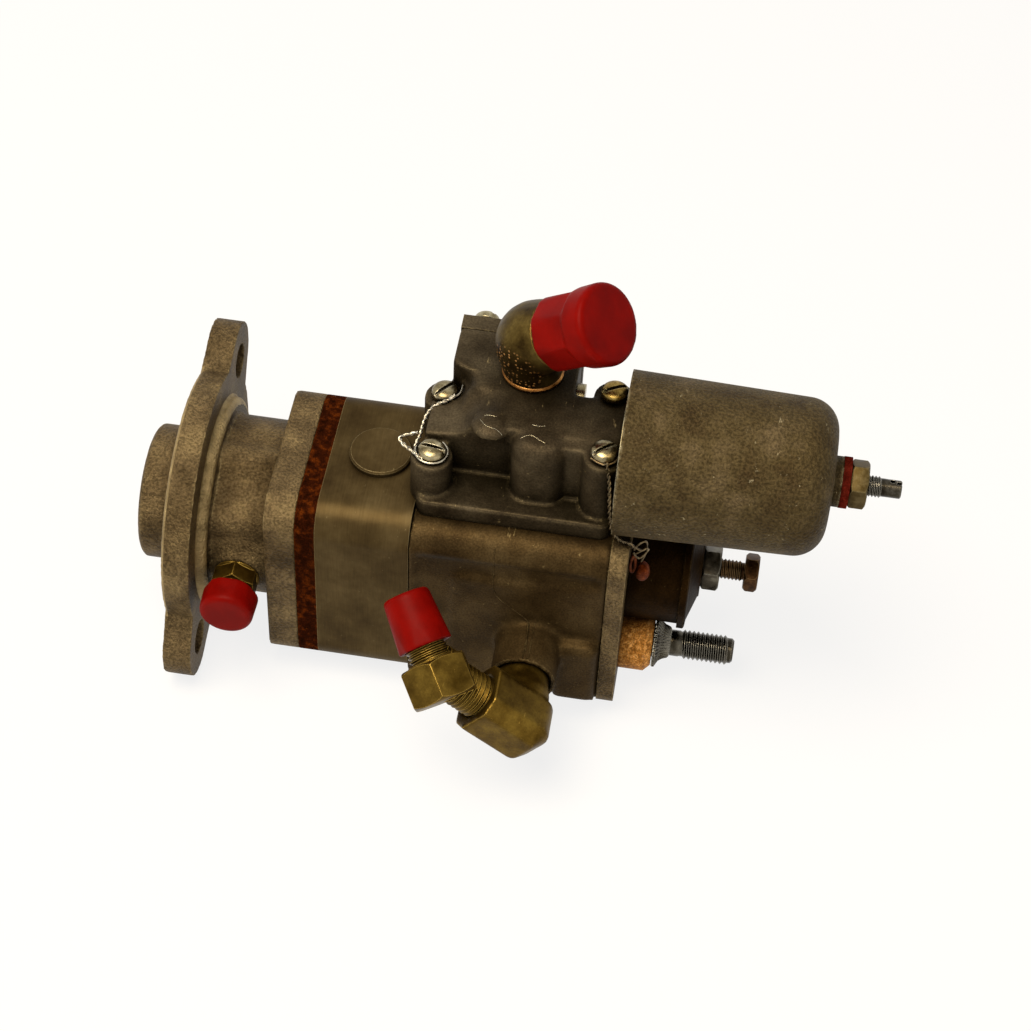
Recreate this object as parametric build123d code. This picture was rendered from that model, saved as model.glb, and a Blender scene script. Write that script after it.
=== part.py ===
from build123d import *
import math
import os

# Engine fuel pump with a gear stage, a governor block, a spring can and capped fittings.
# X runs along the drive axis from the mounting face to the rear, Z up, front face towards -Y.

# Fits
fit_gap = 0.05            # radial clearance of a running fit
seat_gap = 0.03           # radial clearance of a fixed fit
face_gap = 0.3            # play between a moving face and its neighbour

# Mounting flange and inlet casting
pilot_r = 15.875
pilot_len = 9.4
recess_r = 10.2           # open mouth round the drive spline
recess_len = 7.5
flange_t = 6.6
flange_r = 31.0
hole_r = 4.15
hole_pitch_r = 33.0
ear_r = 9.4
ear_angle = 38.0          # ears above the +Y direction
ear_root_x = 20.0         # where each ear leaves the disc
ear_root_half = 15.0
ear_flank_x = hole_pitch_r + 1.5
ear_flank_half = ear_r - 0.12
flange_edge = 0.8
machined_edge = 0.9
step_r = 24.4
step_len = 2.3
neck_r = 20.6
lobe_r = 6.2              # cast bosses along the neck
lobe_pitch_r = 15.8
lobe_angles = (102.0, 142.0, 282.0, 322.0)

# Body section shared by the stacked pieces
front_y = -24.3
back_y = 17.8
top_z = 26.4
bottom_z = -26.4
corner_r = 7.5

# Stack along the drive axis
inlet_x = 23.0            # start of the square part of the inlet casting
plate_x = 30.1
plate_t = 4.6
gear_len = 21.4
control_len = 45.0
end_plate_t = 4.0
plate_x1 = plate_x + plate_t
gear_x1 = plate_x1 + gear_len
control_x1 = gear_x1 + control_len
end_x1 = control_x1 + end_plate_t
rear_len = 16.6
rear_x1 = end_x1 + rear_len
rear_r = 14.2
rear_rim_r = 15.2
rear_rim_t = 1.8
rear_cone_len = 2.4
rear_face_r = 7.4
control_top_z = 25.0
control_bottom_z = -28.3
control_corner_r = 6.2
rail_z = 19.5             # lower edge of the proud rail along the top of the front face
front_relief = 0.9
relief_slope = 58.0
hollow_x0 = gear_x1 + 1.2
hollow_x1 = control_x1 - 1.5
hollow_corner = 1.6
field_x = hollow_x0 + 9.0  # left edge of the raised field round the port
field_top_z = 13.0
ledge_x = control_x1 - 10.5  # cast ledge below the port
ledge_y = -27.5
ledge_z = -3.0
ledge_bottom_z = -23.2
ledge_edge = 2.2
end_plate_top_z = 25.6

# Gears
teeth = 11
module = 1.27
pitch_r = module * teeth / 2
tip_r = pitch_r + module
pressure_angle = 20.0
backlash = 0.16
centre_gap = 0.06
driven_z = -(2 * pitch_r + centre_gap)
gear_width = 12.0
gear_gap = 0.06
gear_x0 = plate_x1 + gear_gap
gear_x2 = gear_x0 + gear_width
tip_gap = 0.06
shaft_r = 4.0
journal_r = 4.6
spline_r = 4.9
spline_count = 12
spline_depth = 0.7
spline_width = 1.1
spline_len = 6.0
spline_inset = 0.9        # end of the spline behind the pilot's face
journal_len = 9.0
bush_outer_r = 6.6

# Shaft seal
seal_x = -1.9
seal_t = 5.0
seal_r = 9.5
ring_t = 1.1
ring_wall = 2.4
ring_slot = 2.4

# Relief valve under the round plug
relief_x = gear_x0 + 11.2
relief_y = -2.6
pad_r = 7.2
pad_t = 1.5
pad_edge = 0.4
plug_r = 5.4
plug_len = 5.0
valve_r = 3.4
valve_len = 5.0
valve_z = 12.0
valve_wall = 0.9
valve_floor = 2.0
relief_wire_r = 0.35
relief_port_r = 1.8
relief_spring_r = 2.05
relief_turns = 5
coil_end_gap = 0.1

# Governor block
block_x0 = gear_x1 + 0.1
block_x1 = control_x1 - 0.6
block_front_y = -17.8
block_base_t = 4.5
block_back_y = 12.0
shelf_z = 38.3
block_top_z = 46.0
upper_front_y = -7.7
pocket_back_y = -6.6
bulge_x0 = gear_x1 + 20.3
bulge_x1 = gear_x1 + 33.0
bulge_y = -13.3
bulge_corner = 4.4
arm_x0 = gear_x1 + 3.9
arm_x1 = gear_x1 + 32.2
arm_y0 = 3.4              # the arm is cut back here to clear the far screw
arm_y1 = 21.6
lid_t = 5.6
lid_edge = 1.4
lid_screw_x = (arm_x0 + 5.0, arm_x1 - 5.0)
lid_screw_z = block_top_z - 4.2
side_plug_y = 9.9
side_plug_z = 41.0
side_plug_r = 2.9
side_plug_t = 2.0
screw_head_r = 3.1
screw_head_h = 2.8
screw_r = 1.9
screw_left_x = block_x0 + 2.8
screw_right_x = block_x1 - 3.4
screw_near_y = -11.0
screw_far_y = 7.1
boss_r = 4.7
seat_ring = 0.7           # machined seat wider than the screw head
base_corner = 3.0
arm_edge = 1.2
bulge_edge = 3.4
wall_x = gear_x1 + 35.2   # left side of the wall that carries the right screws
lump_x = arm_x0 + 11.4
lump_y = -5.6
lump_r = 2.7
lump_rise = 0.7
lump_edge = 0.6
# profile of the casting as it climbs from the left screws to the roof, from its left end
ramp_profile = ((0.4, 40.2), (5.0, 40.4), (8.0, 41.2), (10.6, 43.4), (13.0, 44.9), (16.0, 45.7), (19.0, 46.0))
right_seat_z = 45.6
screw_depth = 9.0
screw_slot = 0.9
screw_slot_depth = 1.1

# Spring can
can_y = -7.7
can_z = 43.9
can_r = 18.3
can_tip_r = 17.3
can_wall = 2.4
can_hollow_r = can_tip_r - can_wall
can_x0 = block_x1 + 0.3
can_len = 46.0
can_corner = 7.0
can_boss_r = 5.6
can_boss_len = 2.0
washer_r = 5.7
washer_t = 1.8
nut_af = 9.53
nut_t = 3.9
adjust_r = 2.4
adjust_len = 7.4
adjust_tip_r = 2.05
adjust_tip_len = 3.2
adjust_inner = 9.0
adjust_slot = 0.8
adjust_slot_depth = 1.2
adjust_hole_r = 0.6        # cross hole for a lock wire
seat_r = 9.0
seat_t = 3.0
seat_nose = 2.5
piston_t = 3.0
spring_r = 7.4
spring_wire_r = 1.1
spring_turns = 5
coil_steps = 12

# Top elbow and its cap
elbow_x = arm_x1 - 10.2
elbow_y = 10.9
elbow_ring_r = 6.6
elbow_body_r = 6.3
elbow_forge_r = 7.1
elbow_rise = 10.5
elbow_dir = Vector(0.726, -0.292, 0.622).normalized()
elbow_out = 7.0
elbow_bore_r = 3.6
elbow_stem_r = elbow_body_r - 1.5
elbow_stem_len = 6.0
elbow_ring_t = 1.4
elbow_collar_r = elbow_body_r + 1.3
elbow_collar_len = 1.6
elbow_thread_len = 9.0
cap_big_len = 15.8
cap_big_mouth_r = 8.5
cap_big_end_r = 9.2
thread_big_r = 7.1

# Front port with a street elbow and an angled adapter
port_x = control_x1 - 16.5
port_z = -7.0
port_r = 7.6
port_y = -35.4
port_thread_r = 5.15
port_root_r = port_r + 1.0
port_root_len = 3.6
port_bore_len = 13.0
elbow2_reach = 11.1
elbow2_af = 14.3
elbow2_out = 11.0
elbow2_angle = 38.5       # outlet above the -X direction
adapter_reach = 23.6
port_recess_r = 6.5
port_recess_len = 1.6
elbow2_edge_r = 3.2
elbow2_corner_r = 4.5
adapter_dir = Vector(-0.50, 0.70, 0.50).normalized()
adapter_af = 14.3
adapter_hex_len = 9.0
adapter_hex_back = 3.0    # the hexagon's middle lies this far behind the bend
adapter_seat = 5.2        # from the bend to the front cap's mouth
adapter_thread_len = 7.0
adapter_collar_len = 5.0
adapter_bore_r = 2.2
adapter_collar_r = port_thread_r + 0.9
adapter_grip = 6.5        # how deep its thread sits in the street elbow
thread_small_r = 4.75
small_cap_len = 12.6
small_cap_mouth_r = 6.2
small_cap_end_r = 5.4
cap_edge_r = 1.0
cap_floor = 1.8
cap_flute_depth = 0.3
cap_flute_share = 0.62

# Drain fitting on the neck
drain_x = 15.5
drain_z = -1.0
drain_boss_r = 6.0
drain_seat_y = -(neck_r + 0.8)
drain_stem_r = 2.3
drain_stem_len = 6.0
drain_hole_len = 7.0
drain_hex_af = 9.5
drain_hex_len = 4.6
drain_cap_len = 6.5
drain_cap_lift = 1.2       # thread left bare between the hexagon and the cap

# Throttle shaft and rear stop
throttle_y = -10.5
throttle_z = -17.0
bush_r = 7.5
bush_len = 6.0
bush_chamfer = 1.5
throttle_r = 4.0
flare_r = 6.3             # flared collar outside the bush, serrated for a lever
serration_len = 3.9
groove_r = 3.1
groove_len = 2.1
throttle_thread_r = 3.5
throttle_thread_len = 12.8
throttle_inner = 22.0
rotor_r = 5.0
rotor_len = 8.0
rotor_slot_len = 5.0
rotor_slot_side = 1.2     # metering cut starts this far off the axis
stop_r = 2.4
stop_nut_t = 4.2
stop_out = 5.6
stop_head_af = 7.94
stop_head_t = 3.3
stop_travel = 2.5
stop_inner = 0.5


def rod(origin, direction, radius, length):
    return Plane(origin=origin, z_dir=direction) * Cylinder(
        radius, length, align=(Align.CENTER, Align.CENTER, Align.MIN))


def taper(origin, direction, r0, r1, length):
    return Plane(origin=origin, z_dir=direction) * Cone(
        r0, r1, length, align=(Align.CENTER, Align.CENTER, Align.MIN))


# Solid of revolution from (distance, radius) steps along its axis
def turned(origin, direction, steps):
    points = [(0, steps[0][0])] + [(r, d) for d, r in steps] + [(0, steps[-1][0])]
    face = Plane.XZ * Polygon(*points, align=None)
    return Plane(origin=origin, z_dir=direction) * revolve(face, Axis.Z)


def hexagon(origin, direction, across_flats, length):
    outline = Plane(origin=origin, z_dir=direction) * RegularPolygon(
        across_flats / 2, 6, major_radius=False)
    return extrude(outline, length)


def along_x(x0, x1, radius, y=0.0, z=0.0):
    return rod((x0, y, z), (1, 0, 0), radius, x1 - x0)


def box(x0, x1, y0, y1, z0, z1):
    return Pos((x0 + x1) / 2, (y0 + y1) / 2, (z0 + z1) / 2) * Box(x1 - x0, y1 - y0, z1 - z0)


def section(x0, x1, y0, y1, z0, z1, radius):
    outline = Plane.YZ.offset(x0) * Pos((y0 + y1) / 2, (z0 + z1) / 2) * RectangleRounded(
        y1 - y0, z1 - z0, radius)
    return extrude(outline, x1 - x0)


def body_section(x0, x1):
    return section(x0, x1, front_y, back_y, bottom_z, top_z, corner_r)


# Gear outline with involute flanks, one tooth centred on the local X direction
def gear_outline(turn):
    base_r = pitch_r * math.cos(math.radians(pressure_angle))
    root_r = pitch_r - 1.2 * module
    spread = math.tan(math.radians(pressure_angle)) - math.radians(pressure_angle)
    half = math.pi / (2 * teeth) - backlash / (2 * pitch_r)
    flank = []
    for k in range(5):
        r = base_r + (tip_r - base_r) * k / 4
        a = math.acos(base_r / r)
        flank.append((r, half + spread - (math.tan(a) - a)))
    points = []
    for i in range(teeth):
        mid = turn + i * 2 * math.pi / teeth
        points.append((root_r, mid - flank[0][1] - 0.02))
        points += [(r, mid - a) for r, a in flank]
        points += [(r, mid + a) for r, a in reversed(flank)]
        points.append((root_r, mid + flank[0][1] + 0.02))
    return [(r * math.cos(a), r * math.sin(a)) for r, a in points]


def gear_body(y, z, turn, bore_r):
    face = Plane.YZ.offset(gear_x0) * Pos(y, z) * Polygon(*gear_outline(turn), align=None)
    gear = extrude(face, gear_width)
    if bore_r:
        gear -= along_x(gear_x0 - 1, gear_x0 + gear_width + 1, bore_r, y, z)
    return gear


elbow2_dir = Vector(-math.cos(math.radians(elbow2_angle)), 0, math.sin(math.radians(elbow2_angle)))


# Inlet casting: pilot, two-ear flange, neck and square end in one piece
def inlet_housing():
    ear = Vector(0, math.cos(math.radians(ear_angle)), math.sin(math.radians(ear_angle)))
    outline = Circle(flange_r)
    for turn in (0, 180):
        outline += Rot(0, 0, turn) * Pos(hole_pitch_r, 0) * Circle(ear_r)
        outline += Rot(0, 0, turn) * Polygon(
            (ear_root_x, ear_root_half), (ear_root_x, -ear_root_half), (ear_flank_x, -ear_flank_half),
            (ear_flank_x, ear_flank_half), align=None)
    flange = extrude(Plane.YZ * Rot(0, 0, ear_angle) * outline, flange_t)
    flange = chamfer(flange.edges().filter_by(GeomType.CIRCLE).filter_by(
        lambda e: e.radius > flange_r - 0.1 and e.center().X < 0.1), flange_edge)
    body = flange + along_x(-pilot_len, 1, pilot_r) + along_x(flange_t - 1, flange_t + step_len, step_r)
    body = chamfer(body.edges().filter_by(GeomType.CIRCLE).filter_by(
        lambda e: min(abs(e.center().X - x) for x in (-pilot_len, flange_t + step_len)) < 0.01), machined_edge)
    body += along_x(flange_t, inlet_x + 1, neck_r)
    for angle in lobe_angles:
        a = math.radians(angle)
        body += along_x(flange_t, inlet_x + 1, lobe_r, lobe_pitch_r * math.cos(a), lobe_pitch_r * math.sin(a))
    body += body_section(inlet_x, plate_x)
    body += rod((drain_x, -neck_r + 3, drain_z), (0, -1, 0), drain_boss_r, 3 - neck_r - drain_seat_y)
    body -= along_x(-pilot_len - 1, -pilot_len + recess_len, recess_r)
    body -= along_x(-pilot_len, seal_x + seal_t, seal_r + seat_gap)
    body -= along_x(-pilot_len, plate_x + 1, bush_outer_r + seat_gap)
    body -= along_x(plate_x1 - journal_len, plate_x + 1, bush_outer_r + seat_gap, 0, driven_z)
    body -= rod((drain_x, drain_seat_y - 1, drain_z), (0, 1, 0), drain_stem_r + seat_gap,
                drain_hole_len + 1)
    for side in (1, -1):
        centre = ear * (side * hole_pitch_r)
        body -= along_x(-1, flange_t + 1, hole_r, centre.Y, centre.Z)
    return body


def side_plate():
    plate = body_section(plate_x, plate_x1)
    for z in (0, driven_z):
        plate -= along_x(plate_x - 1, plate_x1 + 1, bush_outer_r + seat_gap, 0, z)
    return plate


def gear_housing():
    body = body_section(plate_x1, gear_x1)
    for z in (0, driven_z):
        body -= along_x(plate_x1 - 1, gear_x2 + gear_gap, tip_r + tip_gap, 0, z)
        body -= along_x(plate_x1 - 1, gear_x1 + 1, bush_outer_r + seat_gap, 0, z)
    body -= rod((relief_x, relief_y, valve_z), (0, 0, 1), valve_r + fit_gap, 40)
    body -= rod((relief_x, relief_y, 0), (0, 0, 1), relief_port_r, 40)
    body -= rod((relief_x, relief_y, top_z - plug_len), (0, 0, 1), plug_r + seat_gap, 40)
    return body


# Plain bushes, one each side of a gear
def bush_pair(z):
    inner = journal_r + fit_gap
    front = along_x(plate_x1 - journal_len, plate_x1, bush_outer_r, 0, z)
    rear = along_x(gear_x2 + gear_gap, gear_x1, bush_outer_r, 0, z)
    bore = along_x(0, gear_x1 + 1, inner, 0, z)
    return Compound([front - bore, rear - bore])


def drive_bushes():
    return bush_pair(0)


def idler_bushes():
    return bush_pair(driven_z)


def drive_shaft():
    x0 = -pilot_len + spline_inset
    shaft = along_x(x0 + spline_len + 0.5, gear_x0 - gear_gap, journal_r)
    shaft += along_x(gear_x0 - gear_gap, gear_x2 + gear_gap, shaft_r)
    shaft += along_x(gear_x2 + gear_gap, gear_x1 - face_gap, journal_r)
    shaft += along_x(x0, x0 + spline_len + 0.6, spline_r - spline_depth)
    for i in range(spline_count):
        tooth = box(x0, x0 + spline_len, -spline_width / 2, spline_width / 2, spline_r - 1.3, spline_r)
        shaft += Rot(i * 360 / spline_count, 0, 0) * tooth
    return shaft


def drive_gear():
    return gear_body(0, 0, math.pi / 2, shaft_r)


def driven_gear():
    gear = gear_body(0, driven_z, math.pi / 2, 0)
    gear += along_x(plate_x1 - journal_len + face_gap, gear_x0 + 1, journal_r, 0, driven_z)
    return gear + along_x(gear_x2 - 1, gear_x1 - face_gap, journal_r, 0, driven_z)


def shaft_seal():
    seal = along_x(seal_x, seal_x + seal_t, seal_r)
    return seal - along_x(seal_x - 1, seal_x + seal_t + 1, journal_r + fit_gap)


def seal_ring():
    ring = along_x(seal_x - ring_t, seal_x, recess_r - seat_gap)
    ring -= along_x(seal_x - 3, seal_x + 1, recess_r - ring_wall)
    return ring - box(seal_x - 3, seal_x + 1, -ring_slot / 2, ring_slot / 2, -recess_r, -recess_r + 4)


def relief_plug():
    plug = rod((relief_x, relief_y, top_z), (0, 0, 1), pad_r, pad_t)
    plug = chamfer(plug.edges().group_by(Axis.Z)[-1], pad_edge)
    return plug + rod((relief_x, relief_y, top_z - plug_len), (0, 0, 1), plug_r, plug_len + 0.5)


def relief_valve():
    valve = rod((relief_x, relief_y, valve_z), (0, 0, 1), valve_r, valve_len)
    valve -= rod((relief_x, relief_y, valve_z + valve_floor), (0, 0, 1), valve_r - valve_wall, valve_len)
    return valve


# Coil spring with a many-sided path, so that it stays light
def coil(origin, direction, radius, wire_r, length, turns):
    count = turns * coil_steps
    points = []
    for k in range(count + 1):
        a = 2 * math.pi * k / coil_steps
        points.append(Vector(radius * math.cos(a), radius * math.sin(a), length * k / count))
    path = Polyline(*points)
    profile = Plane(origin=points[0], z_dir=path % 0) * RegularPolygon(wire_r, 6)
    return Plane(origin=origin, z_dir=direction) * sweep(profile, path, transition=Transition.RIGHT)


def relief_spring():
    z0 = valve_z + valve_floor + relief_wire_r + coil_end_gap
    length = top_z - plug_len - z0 - relief_wire_r - coil_end_gap
    return coil((relief_x, relief_y, z0), (0, 0, 1), relief_spring_r, relief_wire_r, length, relief_turns)


# Shallow cast relief that leaves a rail along the top and a raised field round the port
def front_hollow():
    outline = Polygon(
        (hollow_x0, bottom_z + 4), (field_x, bottom_z + 4), (field_x + 0.6, field_top_z),
        (field_x + 20.0, field_top_z - 0.4), (hollow_x1, field_top_z + 2), (hollow_x1, rail_z),
        (hollow_x0, rail_z), align=None)
    outline = fillet(outline.vertices(), hollow_corner)
    return extrude(Plane(origin=(0, front_y, 0), z_dir=(0, -1, 0), x_dir=(1, 0, 0)) * outline,
                   -front_relief, taper=relief_slope)


# Control body with its relieved front, cast ledge and port boss
def control_body():
    body = section(gear_x1, control_x1, front_y, back_y, control_bottom_z, control_top_z, control_corner_r)
    body -= front_hollow()
    body += taper((port_x, front_y + 2, port_z), (0, -1, 0), port_root_r, port_r, port_root_len)
    body += rod((port_x, front_y + 2, port_z), (0, -1, 0), port_r, front_y - port_y + 2)
    ledge = box(ledge_x, control_x1 - 0.4, ledge_y, front_y + 4, ledge_bottom_z, ledge_z)
    body += fillet(ledge.edges().filter_by(
        lambda e: e.center().Y < ledge_y + 0.1 or e.center().Z > ledge_z - 0.1), ledge_edge)
    body -= rod((port_x, port_y - 1, port_z), (0, 1, 0), port_thread_r + seat_gap, port_bore_len + 1)
    body -= rod((port_x, port_y - 1, port_z), (0, 1, 0), port_recess_r, port_recess_len + 1)
    for z in (0, driven_z):
        body -= along_x(gear_x1 - 1, gear_x1 + 1.5, journal_r + 1.0, 0, z)
    body -= along_x(control_x1 - throttle_inner, control_x1 + 1, throttle_r + fit_gap, throttle_y, throttle_z)
    rotor_x = control_x1 - throttle_inner
    body -= along_x(rotor_x - face_gap, rotor_x + rotor_len + face_gap, rotor_r + fit_gap, throttle_y, throttle_z)
    body -= along_x(control_x1 - stop_travel - face_gap, control_x1 + 1, stop_r + fit_gap)
    for x in (screw_left_x, screw_right_x):
        for y in (screw_near_y, screw_far_y):
            body -= rod((x, y, control_top_z - screw_depth - 0.5), (0, 0, 1), screw_r + seat_gap, 20)
    return body


def end_plate():
    plate = section(control_x1, end_x1, front_y - 0.4, back_y, control_bottom_z, end_plate_top_z,
                    control_corner_r)
    plate -= along_x(control_x1 - 1, end_x1 + 1, throttle_r + fit_gap, throttle_y, throttle_z)
    plate -= along_x(control_x1 - 1, end_x1 + 1, stop_r + fit_gap)
    return plate


# Rear cover with a rim and a steep cone, notched round the throttle bush
def rear_housing():
    cone_x = rear_len - rear_cone_len
    body = turned((end_x1, 0, 0), (1, 0, 0), [
        (0, rear_r), (cone_x - rear_rim_t, rear_r), (cone_x - rear_rim_t, rear_rim_r), (cone_x - 0.3, rear_rim_r),
        (cone_x, rear_rim_r - 0.5), (cone_x + 0.2, rear_rim_r - 2.2), (rear_len - 0.3, rear_face_r),
        (rear_len, rear_face_r - 0.3)])
    body -= along_x(end_x1 - 1, rear_x1 + 1, bush_r + 0.4, throttle_y, throttle_z)
    return body - along_x(end_x1 - 1, rear_x1 + 1, stop_r + fit_gap)


# Block casting: base flange, a ramp up from the left screws, roof, bulge, right wall and rear arm
def governor_block():
    base_top = control_top_z + block_base_t
    base = box(block_x0, block_x1, block_front_y, block_back_y, control_top_z, base_top)
    base = fillet(base.edges().filter_by(Axis.Z), base_corner)
    base = chamfer(base.edges().group_by(Axis.Z)[-1].group_by(Axis.Y)[0], 0.5)
    ramp = [(block_x0 + dx, z) for dx, z in ramp_profile]
    end_x = ramp[-1][0]
    foot = [(end_x, control_top_z + 1), (block_x0 + 0.4, control_top_z + 1)]
    outline = make_face([Spline(*ramp), Polyline(ramp[-1], *foot, ramp[0])])
    climb = extrude(Plane.XZ.offset(-pocket_back_y) * outline, pocket_back_y - screw_far_y)
    roof = box(end_x - 0.5, block_x1, upper_front_y, screw_far_y - 1.5, block_top_z - 5, block_top_z)
    roof = fillet(roof.edges().group_by(Axis.Z)[-1].group_by(Axis.Y)[0], 0.8)
    core = box(end_x - 1, block_x1, pocket_back_y, screw_far_y - 1.5, control_top_z + 1, block_top_z - 1)
    arm = box(arm_x0, arm_x1, arm_y0, arm_y1, control_top_z + 3, block_top_z)
    block = base + climb + core + roof + fillet(arm.edges().filter_by(Axis.Z), arm_edge)
    bulge = box(bulge_x0, bulge_x1, bulge_y, pocket_back_y + 2, control_top_z + 1, block_top_z)
    bulge = fillet(bulge.edges().filter_by(Axis.Z).group_by(Axis.Y)[0], bulge_corner)
    block += fillet(bulge.edges().group_by(Axis.Z)[-1].filter_by(lambda e: e.center().Y < pocket_back_y), bulge_edge)
    wall = box(wall_x, block_x1, screw_near_y, upper_front_y + 2, control_top_z + 1, right_seat_z)
    block += fillet(wall.edges().group_by(Axis.Y)[0].filter_by(Axis.Z), 2.0)
    lump = rod((lump_x, lump_y, block_top_z - 2), (0, 0, 1), lump_r, 2 + lump_rise)
    block += fillet(lump.edges().group_by(Axis.Z)[-1], lump_edge)
    for y in (screw_near_y, screw_far_y):
        block += rod((screw_left_x, y, control_top_z), (0, 0, 1), boss_r, shelf_z - control_top_z)
        block += rod((screw_right_x, y, control_top_z), (0, 0, 1), boss_r, right_seat_z - control_top_z)
        # seats stay clear round each head
        block -= rod((screw_left_x, y, shelf_z), (0, 0, 1), screw_head_r + seat_ring, 20)
        block -= rod((screw_right_x, y, right_seat_z), (0, 0, 1), screw_head_r + seat_ring, 20)
        for x in (screw_left_x, screw_right_x):
            block -= rod((x, y, 0), (0, 0, 1), screw_r + 0.2, 60)
    block -= box(block_x1, block_x1 + 10, -30, 30, 0, 60)
    block -= box(gear_x1 - 10, gear_x1 + 0.1, -30, 30, 0, top_z + 0.15)
    block -= rod((elbow_x, elbow_y, block_top_z - elbow_stem_len - 2), (0, 0, 1), elbow_stem_r + seat_gap, 20)
    for x in lid_screw_x:
        block -= rod((x, arm_y1 + 1, lid_screw_z), (0, -1, 0), screw_r + seat_gap, 10)
    return block


def block_lid():
    lid = box(arm_x0, arm_x1, arm_y1, arm_y1 + lid_t, control_top_z + 3, block_top_z)
    lid = chamfer(lid.edges().group_by(Axis.Y)[-1], lid_edge)
    for x in lid_screw_x:
        lid -= rod((x, arm_y1 - 1, lid_screw_z), (0, 1, 0), screw_r + 0.2, 20)
    return lid


def fillister(origin, direction, shank, turn):
    plane = Plane(origin=origin, z_dir=direction)
    screw = turned(origin, direction, [
        (-shank, screw_r), (0, screw_r), (0, screw_head_r), (screw_head_h * 0.6, screw_head_r),
        (screw_head_h * 0.85, screw_head_r - 0.6), (screw_head_h, screw_head_r - 1.7)])
    return screw - plane * Rot(0, 0, turn) * Pos(0, 0, screw_head_h) * Box(
        3 * screw_head_r, screw_slot, 2 * screw_slot_depth)


def block_screws():
    left_shank = shelf_z - control_top_z + screw_depth
    right_shank = right_seat_z - control_top_z + screw_depth
    return Compound([
        fillister((screw_left_x, screw_near_y, shelf_z), (0, 0, 1), left_shank, -8),
        fillister((screw_left_x, screw_far_y, shelf_z), (0, 0, 1), left_shank, 50),
        fillister((screw_right_x, screw_near_y, right_seat_z), (0, 0, 1), right_shank, 40),
        fillister((screw_right_x, screw_far_y, right_seat_z), (0, 0, 1), right_shank, 28)])


def lid_screws():
    y = arm_y1 + lid_t
    return Compound([fillister((x, y, lid_screw_z), (0, 1, 0), lid_t + 6, 30) for x in lid_screw_x])


def side_plug():
    return rod((arm_x1, side_plug_y, side_plug_z), (1, 0, 0), side_plug_r, side_plug_t)


# Cast can, open towards the block
def spring_can():
    tip_x = can_x0 + can_len
    can = taper((can_x0, can_y, can_z), (1, 0, 0), can_r, can_tip_r, can_len)
    can = fillet(can.edges().group_by(Axis.X)[-1], can_corner)
    can += along_x(tip_x - 1, tip_x + can_boss_len, can_boss_r, can_y, can_z)
    hollow = along_x(can_x0 - 1, tip_x - can_wall, can_hollow_r, can_y, can_z)
    can -= chamfer(hollow.edges().group_by(Axis.X)[-1], can_corner - can_wall - 0.6)
    return can - along_x(tip_x - 6, tip_x + 5, adjust_r + fit_gap, can_y, can_z)


washer_x = can_x0 + can_len + can_boss_len
can_nut_x = washer_x + washer_t
adjust_x = can_nut_x + nut_t


def can_washer():
    ring = along_x(washer_x, can_nut_x, washer_r, can_y, can_z)
    return ring - along_x(washer_x - 1, can_nut_x + 1, adjust_r + 0.3, can_y, can_z)


def can_nut():
    nut = hexagon((can_nut_x, can_y, can_z), (1, 0, 0), nut_af, nut_t)
    return nut - along_x(can_nut_x - 1, adjust_x + 1, adjust_r + fit_gap, can_y, can_z)


def adjusting_screw():
    x0 = can_x0 + can_len - can_wall - adjust_inner
    length = adjust_x + adjust_len - x0
    screw = turned((x0, can_y, can_z), (1, 0, 0), [
        (0, adjust_r), (length - adjust_tip_len - 0.4, adjust_r), (length - adjust_tip_len, adjust_tip_r),
        (length - 0.3, adjust_tip_r), (length, adjust_tip_r - 0.3)])
    screw -= Pos(x0 + length, can_y, can_z) * Box(2 * adjust_slot_depth, adjust_slot, 9)
    return screw - rod((x0 + length - 2.1, can_y, can_z - 5), (0, 0, 1), adjust_hole_r, 10)


def spring_seat():
    x1 = can_x0 + can_len - can_wall - adjust_inner
    seat = along_x(x1 - seat_t, x1, seat_r, can_y, can_z)
    nose_r = spring_r - spring_wire_r - 0.4
    return seat + along_x(x1 - seat_t - seat_nose, x1 - seat_t + 0.5, nose_r, can_y, can_z)


def governor_spring():
    x0 = block_x1 + piston_t + spring_wire_r + coil_end_gap
    x1 = can_x0 + can_len - can_wall - adjust_inner - seat_t - spring_wire_r - coil_end_gap
    return coil((x0, can_y, can_z), (1, 0, 0), spring_r, spring_wire_r, x1 - x0, spring_turns)


# Piston plate that closes the block and carries the spring
def can_piston():
    return along_x(block_x1, block_x1 + piston_t, can_hollow_r - face_gap, can_y, can_z)


elbow_centre = Vector(elbow_x, elbow_y, block_top_z + elbow_rise)


def top_elbow():
    leg = turned((elbow_x, elbow_y, block_top_z), (0, 0, 1), [
        (-elbow_stem_len, elbow_stem_r), (0, elbow_stem_r), (0, elbow_ring_r),
        (elbow_ring_t, elbow_ring_r), (elbow_ring_t + 0.2, elbow_body_r), (elbow_rise, elbow_body_r)])
    collar_x = elbow_out - 0.6 - elbow_collar_len
    outlet = turned(elbow_centre, elbow_dir, [
        (0, elbow_forge_r), (collar_x - 0.4, elbow_forge_r), (collar_x, elbow_collar_r),
        (elbow_out - 0.6, elbow_collar_r), (elbow_out - 0.4, thread_big_r),
        (elbow_out + elbow_thread_len, thread_big_r)])
    elbow = leg + Pos(elbow_centre) * Sphere(elbow_forge_r) + outlet
    return elbow - rod(elbow_centre, elbow_dir, elbow_bore_r, 40)


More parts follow.
